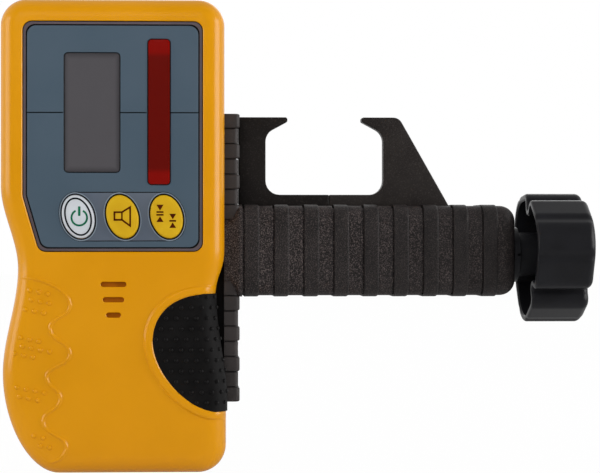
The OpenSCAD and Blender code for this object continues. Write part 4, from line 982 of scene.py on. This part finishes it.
corners, radii = [], []
for a in LOBE_AT:
    corners += [polar(0.9 * KNOB_R, a + 53), polar(1.165 * KNOB_R, a), polar(0.9 * KNOB_R, a - 53),
                polar(NOTCH_R, a - 60)]
    radii += [0.17 * KNOB_R, 0.56 * KNOB_R, 0.17 * KNOB_R, 1.2]
lobes = rounded(corners, radii, 18)
steps = []
for a, b in zip(lobes, np.roll(lobes, -1, 0)):
    steps.append(np.linspace(a, b, max(1, round(np.linalg.norm(b - a) / 0.5)) + 1)[:-1])
lobes = clean(np.vstack(steps))
turned = np.degrees(np.arctan2(lobes[:, 1], lobes[:, 0]))
dip = np.zeros(len(lobes))
for a in LOBE_AT:
    for side in FLUTE_AT:
        off = np.radians((turned - a - side + 180) % 360 - 180) * KNOB_R / FLUTE_W
        dip += FLUTE_DEPTH * np.cos(np.clip(off, -1, 1) * math.pi / 2) ** 2


def knob_ring(inset, x):
    """Ring of the knob; its flutes run out where the ring moves in over the rounded ends."""
    p = grown(lobes, -inset)
    depth = dip * max(0, 1 - inset / 1.5) / np.linalg.norm(p, axis=1)
    return side_ring(p * (1 - depth)[:, None], x, AXIS)


knob_rings = [(2.2, KNOB_X1 - 2.9), (2.2, KNOB_X0 + 0.5), (1.7, KNOB_X0)]
knob_rings += [(i, KNOB_X0 + d) for i, d in quarter(0.9, 6)[::-1]]
knob_rings += [(i, KNOB_X1 - d) for i, d in quarter(2.6, 10)] + [(3.0, KNOB_X1)]
knob = loft("knob_cup", [knob_ring(i, x) for i, x in knob_rings])
circle = arc((0, 0), 7.6, 0, -360, 64)[:-1]
hub = loft("knob_hub", [side_ring(grown(circle, g), x, AXIS) for g, x in
                        ((-3.5, 140.38), (-0.5, 140.38), (0, 140.88), (0, KNOB_X1 - 2.0))])
cut(knob, rod("screw_seat", "x", KNOB_X1 - 1.98, KNOB_X1 + 2, AXIS, 4.2, 40))
knob = joined("lobed_knob", knob, hub)
finish_piece(knob, KNOB_NYLON, "drive", "knob_black", "knob")

# %% [markdown]
# ## Screws and the screw thread
# Cross-head screws hold the case, the foot, the fixed jaw and the bush. One tree builds a head with its cross
# recess and a shank, and sets it on points that carry a facing and a size. The clamp screw gets a real helix: a
# spiral curve with a four-sided profile, left-handed with the 2.5 mm lead that couples the knob and the jaw.

# %% A tree of cross-head screws
screws, given = new_tree("cross_head_screws", [("Finish", "Material")])
head = add(screws, "GeometryNodeMeshCylinder", {"Vertices": 40, "Radius": 1.0, "Depth": 0.7}).outputs["Mesh"]
crown = add(screws, "GeometryNodeMeshCone", {"Vertices": 40, "Radius Top": 0.84, "Radius Bottom": 1.0,
                                             "Depth": 0.3})
shank = add(screws, "GeometryNodeMeshCylinder", {"Vertices": 16, "Radius": 0.5, "Depth": 2.0}).outputs["Mesh"]
recess = [add(screws, "GeometryNodeMeshCube", {"Size": size}).outputs["Mesh"]
          for size in ((1.1, 0.26, 0.9), (0.26, 1.1, 0.9))]
parts = []
for mesh, z in ((head, 0.35), (crown.outputs["Mesh"], 0.7), (shank, -1.0), (recess[0], 1.0), (recess[1], 1.0)):
    moved = add(screws, "GeometryNodeTransform", {"Geometry": mesh, "Translation": (0, 0, z)})
    parts.append(moved.outputs["Geometry"])
solid = add(screws, "GeometryNodeMeshBoolean", operation="UNION")
cross = add(screws, "GeometryNodeMeshBoolean", {"Mesh 1": solid.outputs["Mesh"]}, operation="DIFFERENCE")
for part in parts[:3]:
    screws.links.new(part, solid.inputs["Mesh 2"])
for part in parts[3:]:
    screws.links.new(part, cross.inputs["Mesh 2"])
size = add(screws, "GeometryNodeInputNamedAttribute", {"Name": "size"}, data_type="FLOAT_VECTOR")
set_on_points(screws, given, cross.outputs["Mesh"], size.outputs["Attribute"])


# %% Setting the screws
def set_screws(name, places, finish, *nodes):
    """Screws at places that give each one's seat, facing, head radius and head height."""
    mesh = points_with(name, [seat for seat, _, _, _ in places], facing=[facing for _, facing, _, _ in places],
                       size=[(r * MM, r * MM, tall * MM) for _, _, r, tall in places])
    finish_piece(run_tree(name, mesh, screws, Finish=finish), finish, "receiver", "steel", *nodes)


TO_BACK, TO_RIGHT = (0, 1, 0), (1, 0, 0)
places = [((x, -2.66, z), TO_BACK, 2.8, 2.2) for x, z in case_screws]
places += [((x, -2.76, JAW_SCREW_Z), TO_BACK, 3.05, 2.0) for x in JAW_SCREW_X]
places += [((40.49, y, z), TO_RIGHT, 3.6, 1.9) for y, z in FOOT_SCREWS]
set_screws("cross_head_screws", places, ZINC, "housing_screws", "jaw_screws", "clamp_screws")
# the two small screws in the bush are steel coloured near black, so they are almost lost in the dark beside the
# knob
NEAR_BLACK_STEEL = plated("near_black_steel", ("#1C1C1E", "#29292B"), 0.42, 0.5)
places = [((139.2, AXIS[0] + off, AXIS[1]), TO_RIGHT, 1.2, 0.95) for off in (-8.35, 8.35)]
set_screws("bush_heads", places, NEAR_BLACK_STEEL, "bush_screws")

# %% Clamp screw
helix, given = new_tree("screw_thread", [("Turns", "Float"), ("Lead", "Float"), ("Radius", "Float"),
                                         ("Depth", "Float"), ("Finish", "Material")])
length = add(helix, "ShaderNodeMath", {0: given["Turns"], 1: given["Lead"]}, operation="MULTIPLY")
coil = add(helix, "GeometryNodeCurveSpiral", {
    "Resolution": 28, "Rotations": given["Turns"], "Start Radius": given["Radius"], "End Radius": given["Radius"],
    "Height": length.outputs["Value"], "Reverse": True})
ridge = add(helix, "GeometryNodeCurvePrimitiveCircle", {"Resolution": 4, "Radius": given["Depth"]})
thread = add(helix, "GeometryNodeCurveToMesh", {
    "Curve": coil.outputs["Curve"], "Profile Curve": ridge.outputs["Curve"], "Fill Caps": True})
laid = add(helix, "GeometryNodeTransform", {"Geometry": thread.outputs["Mesh"], "Rotation": (0, math.pi / 2, 0)})
end_tree(helix, laid.outputs["Geometry"], given["Finish"])

LEAD, THREAD_X0, THREAD_R = 2.5, 80, 3.3
screw_x0, screw_x1 = (corner[0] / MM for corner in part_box("lead_screw"))
collar_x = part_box("thrust_washer")[0][0] / MM
thread = run_tree("clamp_thread", bpy.data.meshes.new("clamp_thread"), helix,
                  Turns=(collar_x - 6 - THREAD_X0) / LEAD, Lead=LEAD * MM, Radius=THREAD_R * MM,
                  Depth=0.66 * MM, Finish=ZINC)
thread.data.transform(Matrix.Translation((THREAD_X0 * MM, AXIS[0] * MM, AXIS[1] * MM)))
circle = arc((0, 0), 1.0, 0, -360, 40)[:-1]
core = loft("core", [side_ring(circle * r, x, AXIS) for x, r in (
    (screw_x0, 2.6), (screw_x0 + 0.4, 3.0), (78.94, 3.0), (79.3, THREAD_R), (collar_x - 4, THREAD_R),
    (collar_x - 3.3, 3.98), (collar_x - 2, 3.98), (collar_x - 2, 5.1), (collar_x - 1.7, 5.4), (collar_x, 5.4),
    (collar_x, 3.98), (screw_x1 - 0.4, 3.98), (screw_x1, 3.6))])
finish_piece(joined("clamp_screw", core, thread), ZINC, "drive", "steel", "lead_screw")

# %% [markdown]
# ## Camera, light and stage
# The photograph was taken straight on from about two thirds of a metre. A white sweep hides where the floor ends,
# and two wide softboxes at the sides give the case its paler long edges, with a big frontal one to fill the face.
# The frontal one isn't seen in gloss, and the white that gloss sees fades towards the viewer and overhead, as it
# would where a dark room lies behind the camera. Otherwise a white veil would lie on the orange.

# %% Camera
view = bpy.data.cameras.new("camera")
view.lens, view.sensor_width, view.sensor_fit = 109.80, 36.0, "HORIZONTAL"
view.shift_x, view.shift_y = 0.105, -0.007
view.clip_start, view.clip_end = 0.01, 20
camera = link("camera", view)
camera.location = (0.01836, -0.65035, -0.04013)
camera.rotation_euler = (math.radians(90), 0, math.radians(-2.187))
scene.camera = camera

# %% Lights
def softbox(name, place, aim, size, watts):
    lamp = bpy.data.lights.new(name, "AREA")
    lamp.shape, lamp.size, lamp.size_y, lamp.energy = "RECTANGLE", size[0], size[1], watts
    box = link(name, lamp)
    box.location = place
    way = np.array(aim) - np.array(place)
    flat = math.hypot(way[0], way[1])
    box.rotation_euler = (math.atan2(flat, -way[2]), 0, math.atan2(-way[0], way[1]))
    return box


middle = (0.04, -0.02, -0.04)
softbox("key_front", (-0.25, -1.35, 0.6), middle, (0.9, 0.7), 7.0).visible_glossy = False
softbox("side_left", (-0.95, -0.25, 0.05), middle, (0.5, 0.9), 4.4)
softbox("side_right", (1.05, -0.3, 0.05), middle, (0.6, 0.9), 8.6)
softbox("back_soft", (0.35, 1.4, 0.7), middle, (1.0, 0.8), 2.5)

# %% World and floor
world = bpy.data.worlds.new("white_studio")
scene.world = world
world.use_nodes = True
tree = world.node_tree
tree.nodes.clear()


def background_rays(tree):
    """Gives Light Path and a share that is 1 for rays that show the background, by eye or through glass."""
    path = add(tree, "ShaderNodeLightPath").outputs
    plain = add(tree, "ShaderNodeMath", {0: path["Is Camera Ray"], 1: path["Is Transmission Ray"]},
                operation="MAXIMUM")
    return path, plain.outputs["Value"]


way = add(tree, "ShaderNodeSeparateXYZ", {"Vector": add(tree, "ShaderNodeTexCoord").outputs["Generated"]})
room = add(tree, "ShaderNodeMapRange", {"Value": way.outputs["Y"], "From Min": -0.5, "From Max": 0.2,
                                        "To Min": 0.03, "To Max": 1.0})
overhead = add(tree, "ShaderNodeMapRange", {"Value": way.outputs["Z"], "From Min": 0.3, "From Max": 0.85,
                                            "To Min": 1.0, "To Max": 0.6})
mirrored = add(tree, "ShaderNodeMath", {0: room.outputs["Result"], 1: overhead.outputs["Result"]},
               operation="MULTIPLY")
path, plain = background_rays(tree)
rest = add(tree, "ShaderNodeMix", {0: path["Is Glossy Ray"], 2: 0.5, 3: mirrored.outputs["Value"]})
level = add(tree, "ShaderNodeMix", {0: plain, 2: rest.outputs[0], 3: 1.0})
white = add(tree, "ShaderNodeBackground", {"Color": (1, 1, 1, 1), "Strength": level.outputs[0]})
add(tree, "ShaderNodeOutputWorld", {"Surface": white.outputs["Background"]})

paper, tree, shader, place = start_finish("matte_paper_white", "#F4F4F4", 0.9, gloss=0.0)
fibre = add(tree, "ShaderNodeTexNoise", {"Vector": place, "Scale": per_size(2.0), "Detail": 2.0})
depth = add(tree, "ShaderNodeSeparateXYZ", {"Vector": place})
mirrored = add(tree, "ShaderNodeMapRange", {"Value": depth.outputs["Y"], "From Min": -0.2, "From Max": 0.05,
                                            "To Min": 0.03, "To Max": 0.6})
path, plain = background_rays(tree)
level = add(tree, "ShaderNodeMix", {0: path["Is Glossy Ray"], 2: 1.0, 3: mirrored.outputs["Result"]})
glow = add(tree, "ShaderNodeEmission", {"Color": (1, 1, 1, 1), "Strength": level.outputs[0]})
seen = add(tree, "ShaderNodeMath", {0: plain, 1: path["Is Glossy Ray"]}, operation="MAXIMUM")
share = add(tree, "ShaderNodeMath", {0: seen.outputs["Value"], 1: 0.98}, operation="MULTIPLY")
both = add(tree, "ShaderNodeMixShader", {0: share.outputs["Value"], 1: shader.outputs["BSDF"],
                                         2: glow.outputs["Emission"]})
relief = add(tree, "ShaderNodeBump", {"Height": fibre.outputs["Fac"], "Distance": 0.02 * MM})
tree.links.new(relief.outputs["Normal"], shader.inputs["Normal"])
tree.links.new(both.outputs["Shader"], tree.nodes["Material Output"].inputs["Surface"])
# 3 mm below the case, so that the open battery door clears it
floor_z, REACH = cad_box[0][2] / MM - 3.0, 3000
corners = [(x * REACH, y * REACH, floor_z) for x, y in ((-1, -1), (1, -1), (1, 1), (-1, 1))]
floor = link("paper_floor", mesh_of("paper_floor", corners, [(0, 1, 2, 3)], outward=False))
floor.data.materials.append(paper)
scene.view_settings.view_transform = "Standard"
